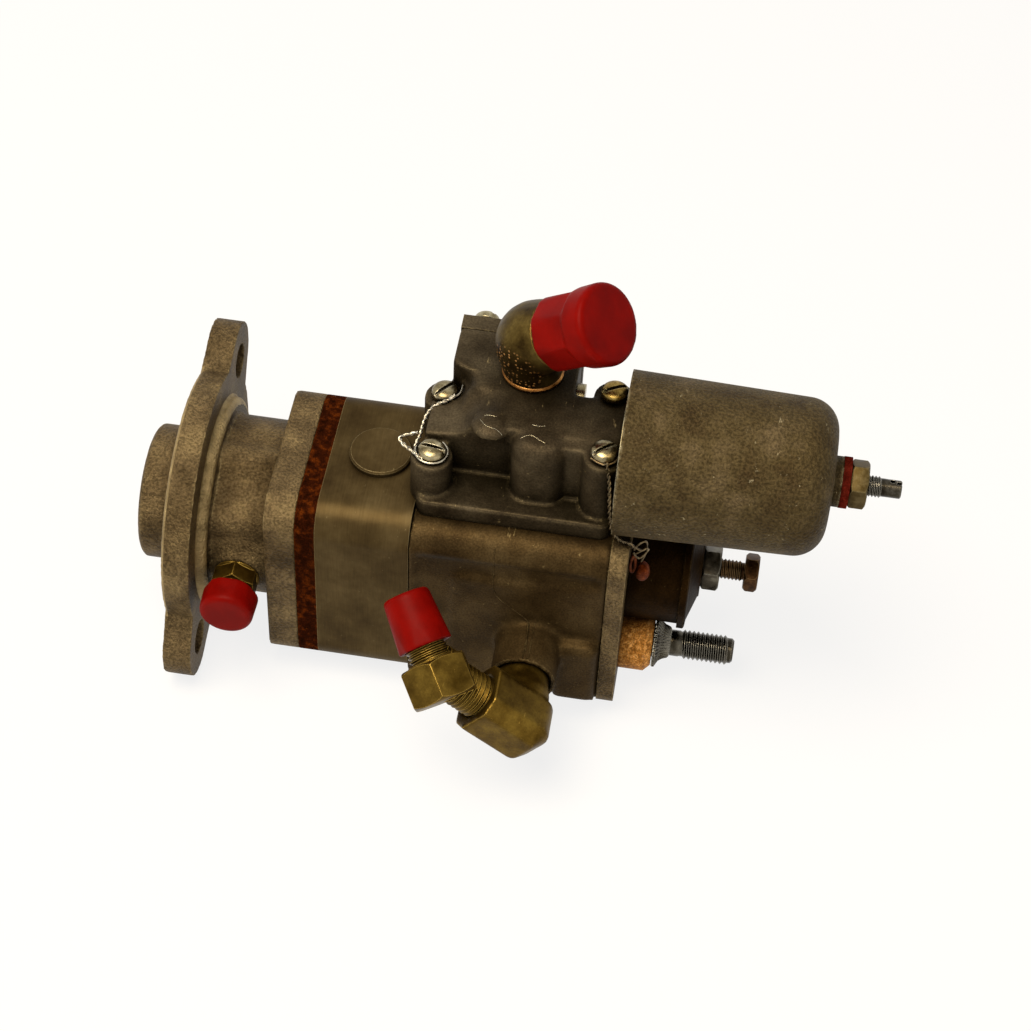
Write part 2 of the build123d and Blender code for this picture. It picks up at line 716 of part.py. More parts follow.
# Tapered plastic cap with flat flutes that run out before the closed end
def plastic_cap(origin, direction, mouth_r, end_r, length, inner_r, flutes):
    cap = turned(origin, direction, [
        (0, mouth_r), (length - cap_edge_r, end_r), (length - cap_edge_r * 0.3, end_r - cap_edge_r * 0.3),
        (length, end_r - cap_edge_r)])
    plane = Plane(origin=origin, z_dir=direction)
    for i in range(flutes):
        flat = Pos(mouth_r + 5 - cap_flute_depth, 0, length * cap_flute_share / 2 - 1)
        cap -= plane * Rot(0, 0, i * 360 / flutes) * flat * Box(10, 2 * mouth_r, length * cap_flute_share + 2)
    cap -= rod(origin, direction, inner_r, length - cap_floor)
    return cap


def top_cap():
    return plastic_cap(elbow_centre + elbow_dir * elbow_out, elbow_dir, cap_big_mouth_r, cap_big_end_r,
                       cap_big_len, thread_big_r + fit_gap, 8)


port_centre = Vector(port_x, port_y - elbow2_reach, port_z)


def port_elbow():
    half = elbow2_af / 2
    body = extrude(Plane(origin=port_centre - elbow2_dir * half, z_dir=elbow2_dir, x_dir=(0, 1, 0))
                   * Rectangle(elbow2_af, elbow2_af), half + elbow2_out)
    outer = body.edges().sort_by(Axis(port_centre, elbow2_dir))[:4].filter_by(Axis.Y)
    body = fillet(outer, elbow2_corner_r)
    along = body.edges().filter_by(Axis((0, 0, 0), elbow2_dir))
    body = chamfer(along, elbow2_edge_r)
    body += rod((port_x, port_y + 9, port_z), (0, -1, 0), port_thread_r, elbow2_reach + 9 - half + 1)
    bore_start = port_centre + elbow2_dir * (elbow2_out - adapter_grip - 0.5)
    return body - rod(bore_start, elbow2_dir, port_thread_r + seat_gap, 10)


adapter_centre = port_centre + elbow2_dir * adapter_reach
adapter_mouth = adapter_centre + adapter_dir * adapter_seat


def port_adapter():
    hex_start = adapter_centre - adapter_dir * (adapter_hex_back + adapter_hex_len / 2)
    body = hexagon(hex_start, adapter_dir, adapter_af, adapter_hex_len)
    inner = elbow2_out - adapter_grip
    neck = adapter_reach - inner - adapter_collar_len
    body += turned(port_centre + elbow2_dir * inner, elbow2_dir, [
        (0, port_thread_r), (neck - 0.5, port_thread_r), (neck, adapter_collar_r),
        (adapter_reach - inner, adapter_collar_r)])
    end = adapter_seat + adapter_thread_len
    body += turned(adapter_centre, adapter_dir, [
        (0, thread_small_r), (end - 0.6, thread_small_r), (end, thread_small_r - 0.6)])
    return body - rod(adapter_centre + adapter_dir * 2, adapter_dir, adapter_bore_r, 20)


def port_cap():
    return plastic_cap(adapter_mouth, adapter_dir, small_cap_mouth_r, small_cap_end_r, small_cap_len,
                       thread_small_r + fit_gap, 6)


def drain_fitting():
    hex_end = drain_seat_y - drain_hex_len
    fitting = hexagon((drain_x, drain_seat_y, drain_z), (0, -1, 0), drain_hex_af, drain_hex_len)
    fitting += rod((drain_x, drain_seat_y + drain_stem_len, drain_z), (0, -1, 0), drain_stem_r,
                   drain_stem_len + 0.5)
    fitting += rod((drain_x, hex_end + 0.5, drain_z), (0, -1, 0), thread_small_r, drain_cap_len - 1.5)
    return fitting


def drain_cap():
    hex_end = drain_seat_y - drain_hex_len
    return plastic_cap((drain_x, hex_end - drain_cap_lift, drain_z), (0, -1, 0), small_cap_mouth_r + 0.2,
                       small_cap_mouth_r, drain_cap_len, thread_small_r + fit_gap, 6)


def throttle_bush():
    bush = along_x(end_x1, end_x1 + bush_len + bush_chamfer, bush_r, throttle_y, throttle_z)
    bush = chamfer(bush.edges().group_by(Axis.X)[-1], bush_chamfer)
    return bush - along_x(end_x1 - 1, end_x1 + 20, throttle_r + fit_gap, throttle_y, throttle_z)


def throttle_shaft():
    x0 = control_x1 - throttle_inner + rotor_len
    a = end_x1 + bush_len + bush_chamfer + 0.2 - x0
    b = a + serration_len
    c = b + groove_len
    d = c + throttle_thread_len
    return turned((x0, throttle_y, throttle_z), (1, 0, 0), [
        (0, throttle_r), (a, throttle_r), (a, flare_r), (a + 0.5, flare_r), (a + 1.4, flare_r - 1.4),
        (a + 2.4, throttle_r), (b, throttle_thread_r), (b, groove_r),
        (c, groove_r), (c + 0.6, throttle_thread_r), (d - 0.7, throttle_thread_r),
        (d, throttle_thread_r - 0.7)])


def metering_rotor():
    x0 = control_x1 - throttle_inner
    rotor = along_x(x0, x0 + rotor_len, rotor_r, throttle_y, throttle_z)
    return rotor - box(x0 - 1, x0 + rotor_slot_len, throttle_y + rotor_slot_side, throttle_y + 9,
                       throttle_z - 9, throttle_z + 9)


def stop_nut():
    nut = hexagon((rear_x1, 0, 0), (1, 0, 0), nut_af, stop_nut_t)
    return nut - along_x(rear_x1 - 1, rear_x1 + 9, stop_r + fit_gap)


def stop_screw():
    x1 = rear_x1 + stop_nut_t + stop_out
    screw = along_x(control_x1 + stop_inner, x1, stop_r)
    return screw + hexagon((x1, 0, 0), (1, 0, 0), stop_head_af, stop_head_t)


nodes = {
    "inlet_housing": inlet_housing,
    "side_plate": side_plate,
    "gear_housing": gear_housing,
    "drive_bushes": drive_bushes,
    "idler_bushes": idler_bushes,
    "drive_shaft": drive_shaft,
    "drive_gear": drive_gear,
    "driven_gear": driven_gear,
    "shaft_seal": shaft_seal,
    "seal_ring": seal_ring,
    "relief_plug": relief_plug,
    "relief_valve": relief_valve,
    "relief_spring": relief_spring,
    "control_body": control_body,
    "end_plate": end_plate,
    "rear_housing": rear_housing,
    "governor_block": governor_block,
    "block_lid": block_lid,
    "block_screws": block_screws,
    "lid_screws": lid_screws,
    "side_plug": side_plug,
    "spring_can": spring_can,
    "can_washer": can_washer,
    "can_nut": can_nut,
    "adjusting_screw": adjusting_screw,
    "spring_seat": spring_seat,
    "governor_spring": governor_spring,
    "can_piston": can_piston,
    "top_elbow": top_elbow,
    "top_cap": top_cap,
    "port_elbow": port_elbow,
    "port_adapter": port_adapter,
    "port_cap": port_cap,
    "drain_fitting": drain_fitting,
    "drain_cap": drain_cap,
    "throttle_bush": throttle_bush,
    "throttle_shaft": throttle_shaft,
    "metering_rotor": metering_rotor,
    "stop_nut": stop_nut,
    "stop_screw": stop_screw,
}

os.makedirs("parts", exist_ok=True)
for name, make in nodes.items():
    export_step(make(), f"parts/{name}.step")
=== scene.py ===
import math

import bpy
from mathutils import Matrix, Vector


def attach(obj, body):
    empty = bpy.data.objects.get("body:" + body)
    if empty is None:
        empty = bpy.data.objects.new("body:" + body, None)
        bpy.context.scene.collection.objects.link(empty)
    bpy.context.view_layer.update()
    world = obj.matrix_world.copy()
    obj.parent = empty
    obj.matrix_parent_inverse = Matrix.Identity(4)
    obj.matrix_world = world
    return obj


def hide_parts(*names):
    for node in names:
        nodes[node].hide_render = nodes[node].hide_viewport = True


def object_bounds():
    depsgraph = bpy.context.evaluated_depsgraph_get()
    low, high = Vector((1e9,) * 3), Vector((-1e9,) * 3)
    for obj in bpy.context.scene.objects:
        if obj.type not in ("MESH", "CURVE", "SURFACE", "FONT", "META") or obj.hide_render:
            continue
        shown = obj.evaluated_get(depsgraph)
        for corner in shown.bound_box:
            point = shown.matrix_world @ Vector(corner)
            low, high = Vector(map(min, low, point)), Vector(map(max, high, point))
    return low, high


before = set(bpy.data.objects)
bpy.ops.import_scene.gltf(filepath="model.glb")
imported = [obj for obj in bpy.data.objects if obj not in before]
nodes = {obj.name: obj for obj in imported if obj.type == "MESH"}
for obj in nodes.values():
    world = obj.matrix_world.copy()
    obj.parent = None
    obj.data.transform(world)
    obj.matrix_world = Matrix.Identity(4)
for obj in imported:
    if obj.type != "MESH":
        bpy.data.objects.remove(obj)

# Engine fuel pump. X runs from the mounting face to the rear, Z is up, the front face looks to -Y.
bpy.context.scene.view_settings.view_transform = "Standard"
cadBox = [list(corner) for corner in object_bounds()]


def linear(hexColour):  # sRGB hex to the linear values that shaders take
    parts = [int(hexColour[i:i + 2], 16) / 255 for i in (1, 3, 5)]
    return [p / 12.92 if p <= 0.04045 else ((p + 0.055) / 1.055) ** 2.4 for p in parts] + [1.0]


def perMm(mm):  # texture scale for a pattern of this size, because objects are in metres
    return 1000.0 / mm


def metres(place):
    return Vector(place) * 0.001


def addNode(tree, kind, settings={}, inputs={}, links={}, stops=()):
    node = tree.nodes.new(kind)
    for key, value in settings.items():
        setattr(node, key, value)
    for key, value in inputs.items():
        node.inputs[key].default_value = value
    for key, source in links.items():
        tree.links.new(source, node.inputs[key])
    for number, (place, colour) in enumerate(stops):
        element = node.color_ramp.elements[number] if number < 2 else node.color_ramp.elements.new(place)
        element.position = place
        element.color = linear(colour) if isinstance(colour, str) else (colour, colour, colour, 1)
    return node


def newMaterial(name):
    material = bpy.data.materials.new(name)
    material.use_nodes = True
    tree = material.node_tree
    tree.nodes.clear()
    output = addNode(tree, "ShaderNodeOutputMaterial")
    coords = addNode(tree, "ShaderNodeTexCoord")
    return material, tree, output, coords


cameraSet = {"eye": (0.11889, -0.38041, 0.45500), "right": (0.98795, 0.15052, 0.03589),
             "down": (0.13741, -0.74751, -0.64988), "lens": 88.39, "sensor": 36.0}


def placeCamera():
    right, down = Vector(cameraSet["right"]).normalized(), Vector(cameraSet["down"])
    forward = right.cross(down).normalized()
    down = forward.cross(right)
    turn = Matrix((right, -down, -forward)).transposed().to_4x4()
    data = bpy.data.cameras.new("photoCamera")
    data.lens, data.sensor_width, data.sensor_fit = cameraSet["lens"], cameraSet["sensor"], "HORIZONTAL"
    data.clip_start, data.clip_end = 0.01, 50
    camera = bpy.data.objects.new("photoCamera", data)
    bpy.context.scene.collection.objects.link(camera)
    camera.matrix_world = Matrix.Translation(cameraSet["eye"]) @ turn
    bpy.context.scene.camera = camera


lightSet = {"keyPlace": (-0.15, -0.25, 0.9), "keySize": 0.6, "keyPower": 12.0,
            "fillPlace": (0.7, -0.7, 0.35), "fillSize": 0.8, "fillPower": 0.9,
            "worldStrength": 0.24, "warmth": "#fff0d6", "worldTint": "#fff2de", "aim": (0.07, 0, 0.01)}


def seenShare(tree):  # 1 for rays from the camera, through clear pieces and off shiny ones
    rays = addNode(tree, "ShaderNodeLightPath")
    direct = addNode(tree, "ShaderNodeMath", {"operation": "MAXIMUM"}, {},
                     {0: rays.outputs["Is Camera Ray"], 1: rays.outputs["Is Transmission Ray"]})
    return addNode(tree, "ShaderNodeMath", {"operation": "MAXIMUM"}, {},
                   {0: direct.outputs[0], 1: rays.outputs["Is Glossy Ray"]}).outputs[0]


def lightStudio():
    for name in ("key", "fill"):
        data = bpy.data.lights.new(name + "Light", "AREA")
        data.size, data.energy = lightSet[name + "Size"], lightSet[name + "Power"]
        data.color = linear(lightSet["warmth"])[:3]
        lamp = bpy.data.objects.new(name + "Light", data)
        bpy.context.scene.collection.objects.link(lamp)
        lamp.location = lightSet[name + "Place"]
        aim = Vector(lightSet["aim"]) - lamp.location
        lamp.rotation_euler = aim.to_track_quat("-Z", "Y").to_euler()
    world = bpy.data.worlds.new("studioWorld")
    bpy.context.scene.world = world
    world.use_nodes = True
    tree = world.node_tree
    tree.nodes.clear()
    seen = seenShare(tree)
    soft = addNode(tree, "ShaderNodeBackground", {},
                   {"Color": linear(lightSet["worldTint"]), "Strength": lightSet["worldStrength"]})
    white = addNode(tree, "ShaderNodeBackground", {}, {"Color": (1, 1, 1, 1), "Strength": 1.0})
    mix = addNode(tree, "ShaderNodeMixShader", {}, {}, {0: seen, 1: soft.outputs[0], 2: white.outputs[0]})
    addNode(tree, "ShaderNodeOutputWorld", {}, {}, {0: mix.outputs[0]})


floorSet = {"size": 6, "middleX": 0.07, "below": 0.0003, "paper": "#fbfbf9", "glowShare": 0.82}


def layFloor():
    lowest = cadBox[0][2] - floorSet["below"]
    bpy.ops.mesh.primitive_plane_add(size=floorSet["size"], location=(floorSet["middleX"], 0, lowest))
    floor = bpy.context.object
    floor.name = "floor"
    material, tree, output, coords = newMaterial("paperFloor")
    paper = addNode(tree, "ShaderNodeBsdfDiffuse", {}, {"Color": linear(floorSet["paper"])})
    glow = addNode(tree, "ShaderNodeEmission", {}, {"Color": (1, 1, 1, 1), "Strength": 1.0})
    share = addNode(tree, "ShaderNodeMath", {"operation": "MULTIPLY"}, {1: floorSet["glowShare"]},
                    {0: seenShare(tree)})
    mix = addNode(tree, "ShaderNodeMixShader", {}, {},
                  {0: share.outputs[0], 1: paper.outputs[0], 2: glow.outputs[0]})
    tree.links.new(mix.outputs[0], output.inputs[0])
    floor.data.materials.append(material)


placeCamera()
lightStudio()
layFloor()
print("stage: camera, lamps and floor are up")


def edgeWearAndShadedDirt(tree, bevel, dirtMm):
    # worn edges are where the rounded normal leaves the true one; dirt and painted shade are where surfaces
    # face each other
    true = addNode(tree, "ShaderNodeNewGeometry")
    turn = addNode(tree, "ShaderNodeVectorMath", {"operation": "DOT_PRODUCT"}, {},
                   {0: bevel.outputs[0], 1: true.outputs["True Normal"]})
    edge = addNode(tree, "ShaderNodeMapRange", {}, {"From Min": 0.995, "From Max": 0.86},
                   {"Value": turn.outputs["Value"]})
    # ambient occlusion marks the crevices, where real soot and painted shade are both laid
    hidden = addNode(tree, "ShaderNodeAmbientOcclusion", {"samples": 4}, {"Distance": dirtMm / 1000})
    dirtAndShade = addNode(tree, "ShaderNodeMapRange", {}, {"From Min": 0.92, "From Max": 0.3},
                   {"Value": hidden.outputs["AO"]})
    return edge.outputs[0], dirtAndShade.outputs[0]


def brightShare(tree, at):  # how much of a turned band is still bright, patch by patch
    patches = addNode(tree, "ShaderNodeTexNoise", {}, {"Scale": perMm(6), "Detail": 4, "Roughness": 0.6},
                      {"Vector": at})
    return addNode(tree, "ShaderNodeMapRange", {},
                   {"From Min": 0.35, "From Max": 0.65, "To Min": 0.35, "To Max": 0.95},
                   {"Value": patches.outputs["Fac"]}).outputs[0]


def castAlloy(name, look):
    # sand cast aluminium with an old conversion coat: dull, sandy, oil-blotched, pale at rubbed edges
    material, tree, output, coords = newMaterial(name)
    at = coords.outputs["Object"]
    bevel = addNode(tree, "ShaderNodeBevel", {"samples": 4}, {"Radius": look.get("edgeMm", 0.5) / 1000})
    edge, dirtAndShade = edgeWearAndShadedDirt(tree, bevel, look.get("dirtMm", 5))
    blotch = addNode(tree, "ShaderNodeTexNoise", {},
                     {"Scale": perMm(look["blotchMm"]), "Detail": 6, "Roughness": 0.62}, {"Vector": at})
    base = addNode(tree, "ShaderNodeValToRGB", {}, {}, {"Fac": blotch.outputs["Fac"]},
                   ((0.32, look["dark"]), (0.68, look["light"]), (0.50, look["mid"])))
    # oil and heat stains a few centimetres wide
    oil = addNode(tree, "ShaderNodeTexNoise", {}, {"Scale": perMm(22), "Detail": 3, "Distortion": 0.6},
                  {"Vector": at})
    oilShare = addNode(tree, "ShaderNodeMapRange", {},
                       {"From Min": 0.5, "From Max": 0.72, "To Max": look.get("oil", 0.4)},
                       {"Value": oil.outputs["Fac"]})
    oiled = addNode(tree, "ShaderNodeMix", {"data_type": "RGBA"}, {7: linear(look["stain"])},
                    {0: oilShare.outputs[0], 6: base.outputs["Color"]})
    grain = addNode(tree, "ShaderNodeTexNoise", {},
                    {"Scale": perMm(look["grainMm"]), "Detail": 3, "Roughness": 0.6}, {"Vector": at})
    speck = addNode(tree, "ShaderNodeMapRange", {},
                    {"From Min": 0.38, "From Max": 0.62, "To Min": 1 - look["speck"],
                     "To Max": 1 + look["speck"]},
                    {"Value": grain.outputs["Fac"]})
    speckled = addNode(tree, "ShaderNodeVectorMath", {"operation": "SCALE"}, {},
                       {0: oiled.outputs[2], "Scale": speck.outputs[0]})
    # crevices are mixed toward the soot colour: part real soot, part painted shade
    dirtAndShadeShare = addNode(tree, "ShaderNodeMath", {"operation": "MULTIPLY"}, {1: look.get("dirtAndShade", 0.8)},
                        {0: dirtAndShade})
    dirtiedAndShaded = addNode(tree, "ShaderNodeMix", {"data_type": "RGBA"}, {7: linear(look["sootAndShade"])},
                    {0: dirtAndShadeShare.outputs[0], 6: speckled.outputs[0]})
    skin = dirtiedAndShaded.outputs[2]
    for start, end, reach in look.get("turned", ()):  # bands cut on the lathe are brighter
        along = addNode(tree, "ShaderNodeSeparateXYZ", {}, {}, {0: at})
        inBand = addNode(tree, "ShaderNodeMath", {"operation": "COMPARE"},
                         {1: (start + end) / 2000, 2: (end - start) / 2000}, {0: along.outputs["X"]})
        across = addNode(tree, "ShaderNodeVectorMath", {"operation": "MULTIPLY"}, {1: (0, 1, 1)}, {0: at})
        radius = addNode(tree, "ShaderNodeVectorMath", {"operation": "LENGTH"}, {}, {0: across.outputs[0]})
        within = addNode(tree, "ShaderNodeMath", {"operation": "LESS_THAN"}, {1: reach / 1000},
                         {0: radius.outputs["Value"]})
        band = addNode(tree, "ShaderNodeMath", {"operation": "MULTIPLY"}, {},
                       {0: inBand.outputs[0], 1: within.outputs[0]})
        share = addNode(tree, "ShaderNodeMath", {"operation": "MULTIPLY"}, {},
                        {0: band.outputs[0], 1: brightShare(tree, at)})
        skin = addNode(tree, "ShaderNodeMix", {"data_type": "RGBA"}, {7: linear(look["bright"])},
                       {0: share.outputs[0], 6: skin}).outputs[2]
    breakUp = addNode(tree, "ShaderNodeTexNoise", {}, {"Scale": perMm(2.2), "Detail": 4, "Roughness": 0.7},
                      {"Vector": at})
    worn = addNode(tree, "ShaderNodeMapRange", {}, {"From Min": 0.42, "From Max": 0.62},
                   {"Value": breakUp.outputs["Fac"]})
    wornEdge = addNode(tree, "ShaderNodeMath", {"operation": "MULTIPLY"}, {}, {0: edge, 1: worn.outputs[0]})
    # short bright rubs scattered over the faces
    stretched = addNode(tree, "ShaderNodeMapping", {}, {"Rotation": (0.4, 0.7, 0.5), "Scale": (1, 0.25, 1)},
                        {"Vector": at})
    rubs = addNode(tree, "ShaderNodeTexNoise", {}, {"Scale": perMm(1.6), "Detail": 5, "Roughness": 0.75},
                   {"Vector": stretched.outputs[0]})
    rubShare = addNode(tree, "ShaderNodeMapRange", {},
                       {"From Min": 0.64, "From Max": 0.72, "To Max": look.get("rubs", 0.5)},
                       {"Value": rubs.outputs["Fac"]})
    wornAll = addNode(tree, "ShaderNodeMath", {"operation": "MULTIPLY_ADD", "use_clamp": True},
                      {1: look.get("wear", 0.5)},
                      {0: wornEdge.outputs[0], 2: rubShare.outputs[0]})
    colour = addNode(tree, "ShaderNodeMix", {"data_type": "RGBA"}, {7: linear(look["rubbed"])},
                     {0: wornAll.outputs[0], 6: skin})
    lump = addNode(tree, "ShaderNodeTexNoise", {}, {"Scale": perMm(look.get("lumpMm", 6)), "Detail": 2},
                   {"Vector": at})
    lumpBump = addNode(tree, "ShaderNodeBump", {}, {"Strength": look.get("lump", 0.25), "Distance": 0.0008},
                       {"Height": lump.outputs["Fac"], "Normal": bevel.outputs[0]})
    grainBump = addNode(tree, "ShaderNodeBump", {},
                        {"Strength": look["bump"], "Distance": look.get("sandMm", 0.3) / 1000},
                        {"Height": grain.outputs["Fac"], "Normal": lumpBump.outputs[0]})
    rough = addNode(tree, "ShaderNodeMapRange", {},
                    {"To Min": look["rough"] - 0.1, "To Max": look["rough"] + 0.1},
                    {"Value": blotch.outputs["Fac"]})
    shader = addNode(tree, "ShaderNodeBsdfPrincipled", {},
                     {"Metallic": look["metallic"], "Specular IOR Level": 0.0},
                     {"Base Color": colour.outputs[2], "Roughness": rough.outputs[0],
                      "Normal": grainBump.outputs[0]})
    tree.links.new(shader.outputs[0], output.inputs[0])
    return material


def cutMetal(name, look):
    # turned, milled or drawn metal: satin, fine tool marks along one direction, stains, a few scratches
    material, tree, output, coords = newMaterial(name)
    at = coords.outputs["Object"]
    bevel = addNode(tree, "ShaderNodeBevel", {"samples": 4}, {"Radius": look.get("edgeMm", 0.25) / 1000})
    edge, dirtAndShade = edgeWearAndShadedDirt(tree, bevel, look.get("dirtMm", 3))
    stretch = addNode(tree, "ShaderNodeMapping", {}, {"Scale": look["stretch"]}, {"Vector": at})
    marks = addNode(tree, "ShaderNodeTexNoise", {},
                    {"Scale": perMm(look["marksMm"]), "Detail": 3, "Roughness": 0.6},
                    {"Vector": stretch.outputs[0]})
    stain = addNode(tree, "ShaderNodeTexNoise", {},
                    {"Scale": perMm(look["blotchMm"]), "Detail": 5, "Roughness": 0.6}, {"Vector": at})
    base = addNode(tree, "ShaderNodeValToRGB", {}, {}, {"Fac": stain.outputs["Fac"]},
                   ((0.32, look["dark"]), (0.68, look["light"]), (0.50, look["mid"])))
    lines = addNode(tree, "ShaderNodeMapRange", {},
                    {"From Min": 0.3, "From Max": 0.7, "To Min": 1 - look["marks"],
                     "To Max": 1 + look["marks"]},
                    {"Value": marks.outputs["Fac"]})
    lined = addNode(tree, "ShaderNodeVectorMath", {"operation": "SCALE"}, {},
                    {0: base.outputs["Color"], "Scale": lines.outputs[0]})
    # crevices are mixed toward the soot colour: part real soot, part painted shade
    dirtAndShadeShare = addNode(tree, "ShaderNodeMath", {"operation": "MULTIPLY"}, {1: look.get("dirtAndShade", 0.8)},
                        {0: dirtAndShade})
    dirtiedAndShaded = addNode(tree, "ShaderNodeMix", {"data_type": "RGBA"}, {7: linear(look["sootAndShade"])},
                    {0: dirtAndShadeShare.outputs[0], 6: lined.outputs[0]})
    scratch = addNode(tree, "ShaderNodeMapping", {}, {"Rotation": (0.3, 0.9, 0.2), "Scale": (1, 0.12, 1)},
                      {"Vector": at})
    scratches = addNode(tree, "ShaderNodeTexNoise", {},
                        {"Scale": perMm(0.9), "Detail": 5, "Roughness": 0.8},
                        {"Vector": scratch.outputs[0]})
    scratchShare = addNode(tree, "ShaderNodeMapRange", {},
                           {"From Min": 0.66, "From Max": 0.72, "To Max": look.get("scratched", 0.4)},
                           {"Value": scratches.outputs["Fac"]})
    wornAll = addNode(tree, "ShaderNodeMath", {"operation": "MULTIPLY_ADD", "use_clamp": True},
                      {1: look.get("wear", 0.6)},
                      {0: edge, 2: scratchShare.outputs[0]})
    colour = addNode(tree, "ShaderNodeMix", {"data_type": "RGBA"}, {7: linear(look["rubbed"])},
                     {0: wornAll.outputs[0], 6: dirtiedAndShaded.outputs[2]})
    bump = addNode(tree, "ShaderNodeBump", {}, {"Strength": look["bump"], "Distance": 0.0001},
                   {"Height": marks.outputs["Fac"], "Normal": bevel.outputs[0]})
    rough = addNode(tree, "ShaderNodeMapRange", {},
                    {"From Min": 0.3, "From Max": 0.7, "To Min": look["rough"] - 0.08,
                     "To Max": look["rough"] + 0.1},
                    {"Value": stain.outputs["Fac"]})
    shader = addNode(tree, "ShaderNodeBsdfPrincipled", {},
                     {"Metallic": look["metallic"], "Specular IOR Level": 0.0},
                     {"Base Color": colour.outputs[2], "Roughness": rough.outputs[0],
                      "Normal": bump.outputs[0]})
    tree.links.new(shader.outputs[0], output.inputs[0])
    return material


def punchedBrass(name, look):
    # forged brass with rows of small punch marks on the outer lower side, where the light picks out each rim;
    # that bright rim is a painted highlight and the dotted zone is darker
    material = cutMetal(name, look)
    tree = material.node_tree
    shader = next(n for n in tree.nodes if n.type == "BSDF_PRINCIPLED")
    coords = next(n for n in tree.nodes if n.type == "TEX_COORD")
    at = coords.outputs["Object"]
    dots = addNode(tree, "ShaderNodeTexVoronoi", {}, {"Scale": perMm(look["dotMm"]), "Randomness": 0.5},
                   {"Vector": at})
    dot = addNode(tree, "ShaderNodeMapRange", {}, {"From Min": 0.34, "From Max": 0.2},
                  {"Value": dots.outputs["Distance"]})
    middle = addNode(tree, "ShaderNodeVectorMath", {"operation": "DISTANCE"}, {1: metres(look["dotsAt"])},
                     {0: at})
    zone = addNode(tree, "ShaderNodeMapRange", {},
                   {"From Min": look["dotsR"] / 1000, "From Max": look["dotsR"] / 1400},
                   {"Value": middle.outputs["Value"]})
    shown = addNode(tree, "ShaderNodeMath", {"operation": "MULTIPLY"}, {},
                    {0: dot.outputs[0], 1: zone.outputs[0]})
    before = shader.inputs["Base Color"].links[0].from_socket
    # the dotted zone on the outer lower side is mixed darker
    darkZone = addNode(tree, "ShaderNodeMath", {"operation": "MULTIPLY"}, {1: 0.7}, {0: zone.outputs[0]})
    zoneDarkened = addNode(tree, "ShaderNodeMix", {"data_type": "RGBA"}, {7: linear(look["dark"])},
                     {0: darkZone.outputs[0], 6: before})
    # each punch mark gets a painted highlight colour on its rim
    bright = addNode(tree, "ShaderNodeMix", {"data_type": "RGBA"}, {7: linear(look["dotHighlightColour"])},
                     {0: shown.outputs[0], 6: zoneDarkened.outputs[2]})
    tree.links.new(bright.outputs[2], shader.inputs["Base Color"])
    normalBefore = shader.inputs["Normal"].links[0].from_socket
    raised = addNode(tree, "ShaderNodeBump", {}, {"Strength": 0.8, "Distance": 0.0002},
                     {"Height": shown.outputs[0], "Normal": normalBefore})
    tree.links.new(raised.outputs[0], shader.inputs["Normal"])
    return material


def mouldedPolyethylene(name):
    # soft red closure caps: waxy, slightly see-through, faint mould haze and scuffs
    material, tree, output, coords = newMaterial(name)
    at = coords.outputs["Object"]
    haze = addNode(tree, "ShaderNodeTexNoise", {}, {"Scale": perMm(7), "Detail": 4}, {"Vector": at})
    base = addNode(tree, "ShaderNodeValToRGB", {}, {}, {"Fac": haze.outputs["Fac"]},
                   ((0.35, "#670502"), (0.65, "#7c0702")))
    scuff = addNode(tree, "ShaderNodeTexNoise", {}, {"Scale": perMm(0.5), "Detail": 4}, {"Vector": at})
    bevel = addNode(tree, "ShaderNodeBevel", {"samples": 4}, {"Radius": 0.0005})
    rough = addNode(tree, "ShaderNodeMapRange", {}, {"To Min": 0.36, "To Max": 0.52},
                    {"Value": scuff.outputs["Fac"]})
    bump = addNode(tree, "ShaderNodeBump", {}, {"Strength": 0.15, "Distance": 0.0001},
                   {"Height": scuff.outputs["Fac"], "Normal": bevel.outputs[0]})
    shader = addNode(tree, "ShaderNodeBsdfPrincipled", {},
                     {"IOR": 1.5, "Specular IOR Level": 0.05, "Subsurface Weight": 0.04,
                      "Subsurface Scale": 0.001, "Subsurface Radius": (1.0, 0.2, 0.1)},
                     {"Base Color": base.outputs["Color"], "Roughness": rough.outputs[0],
                      "Normal": bump.outputs[0]})
    tree.links.new(shader.outputs[0], output.inputs[0])
    return material


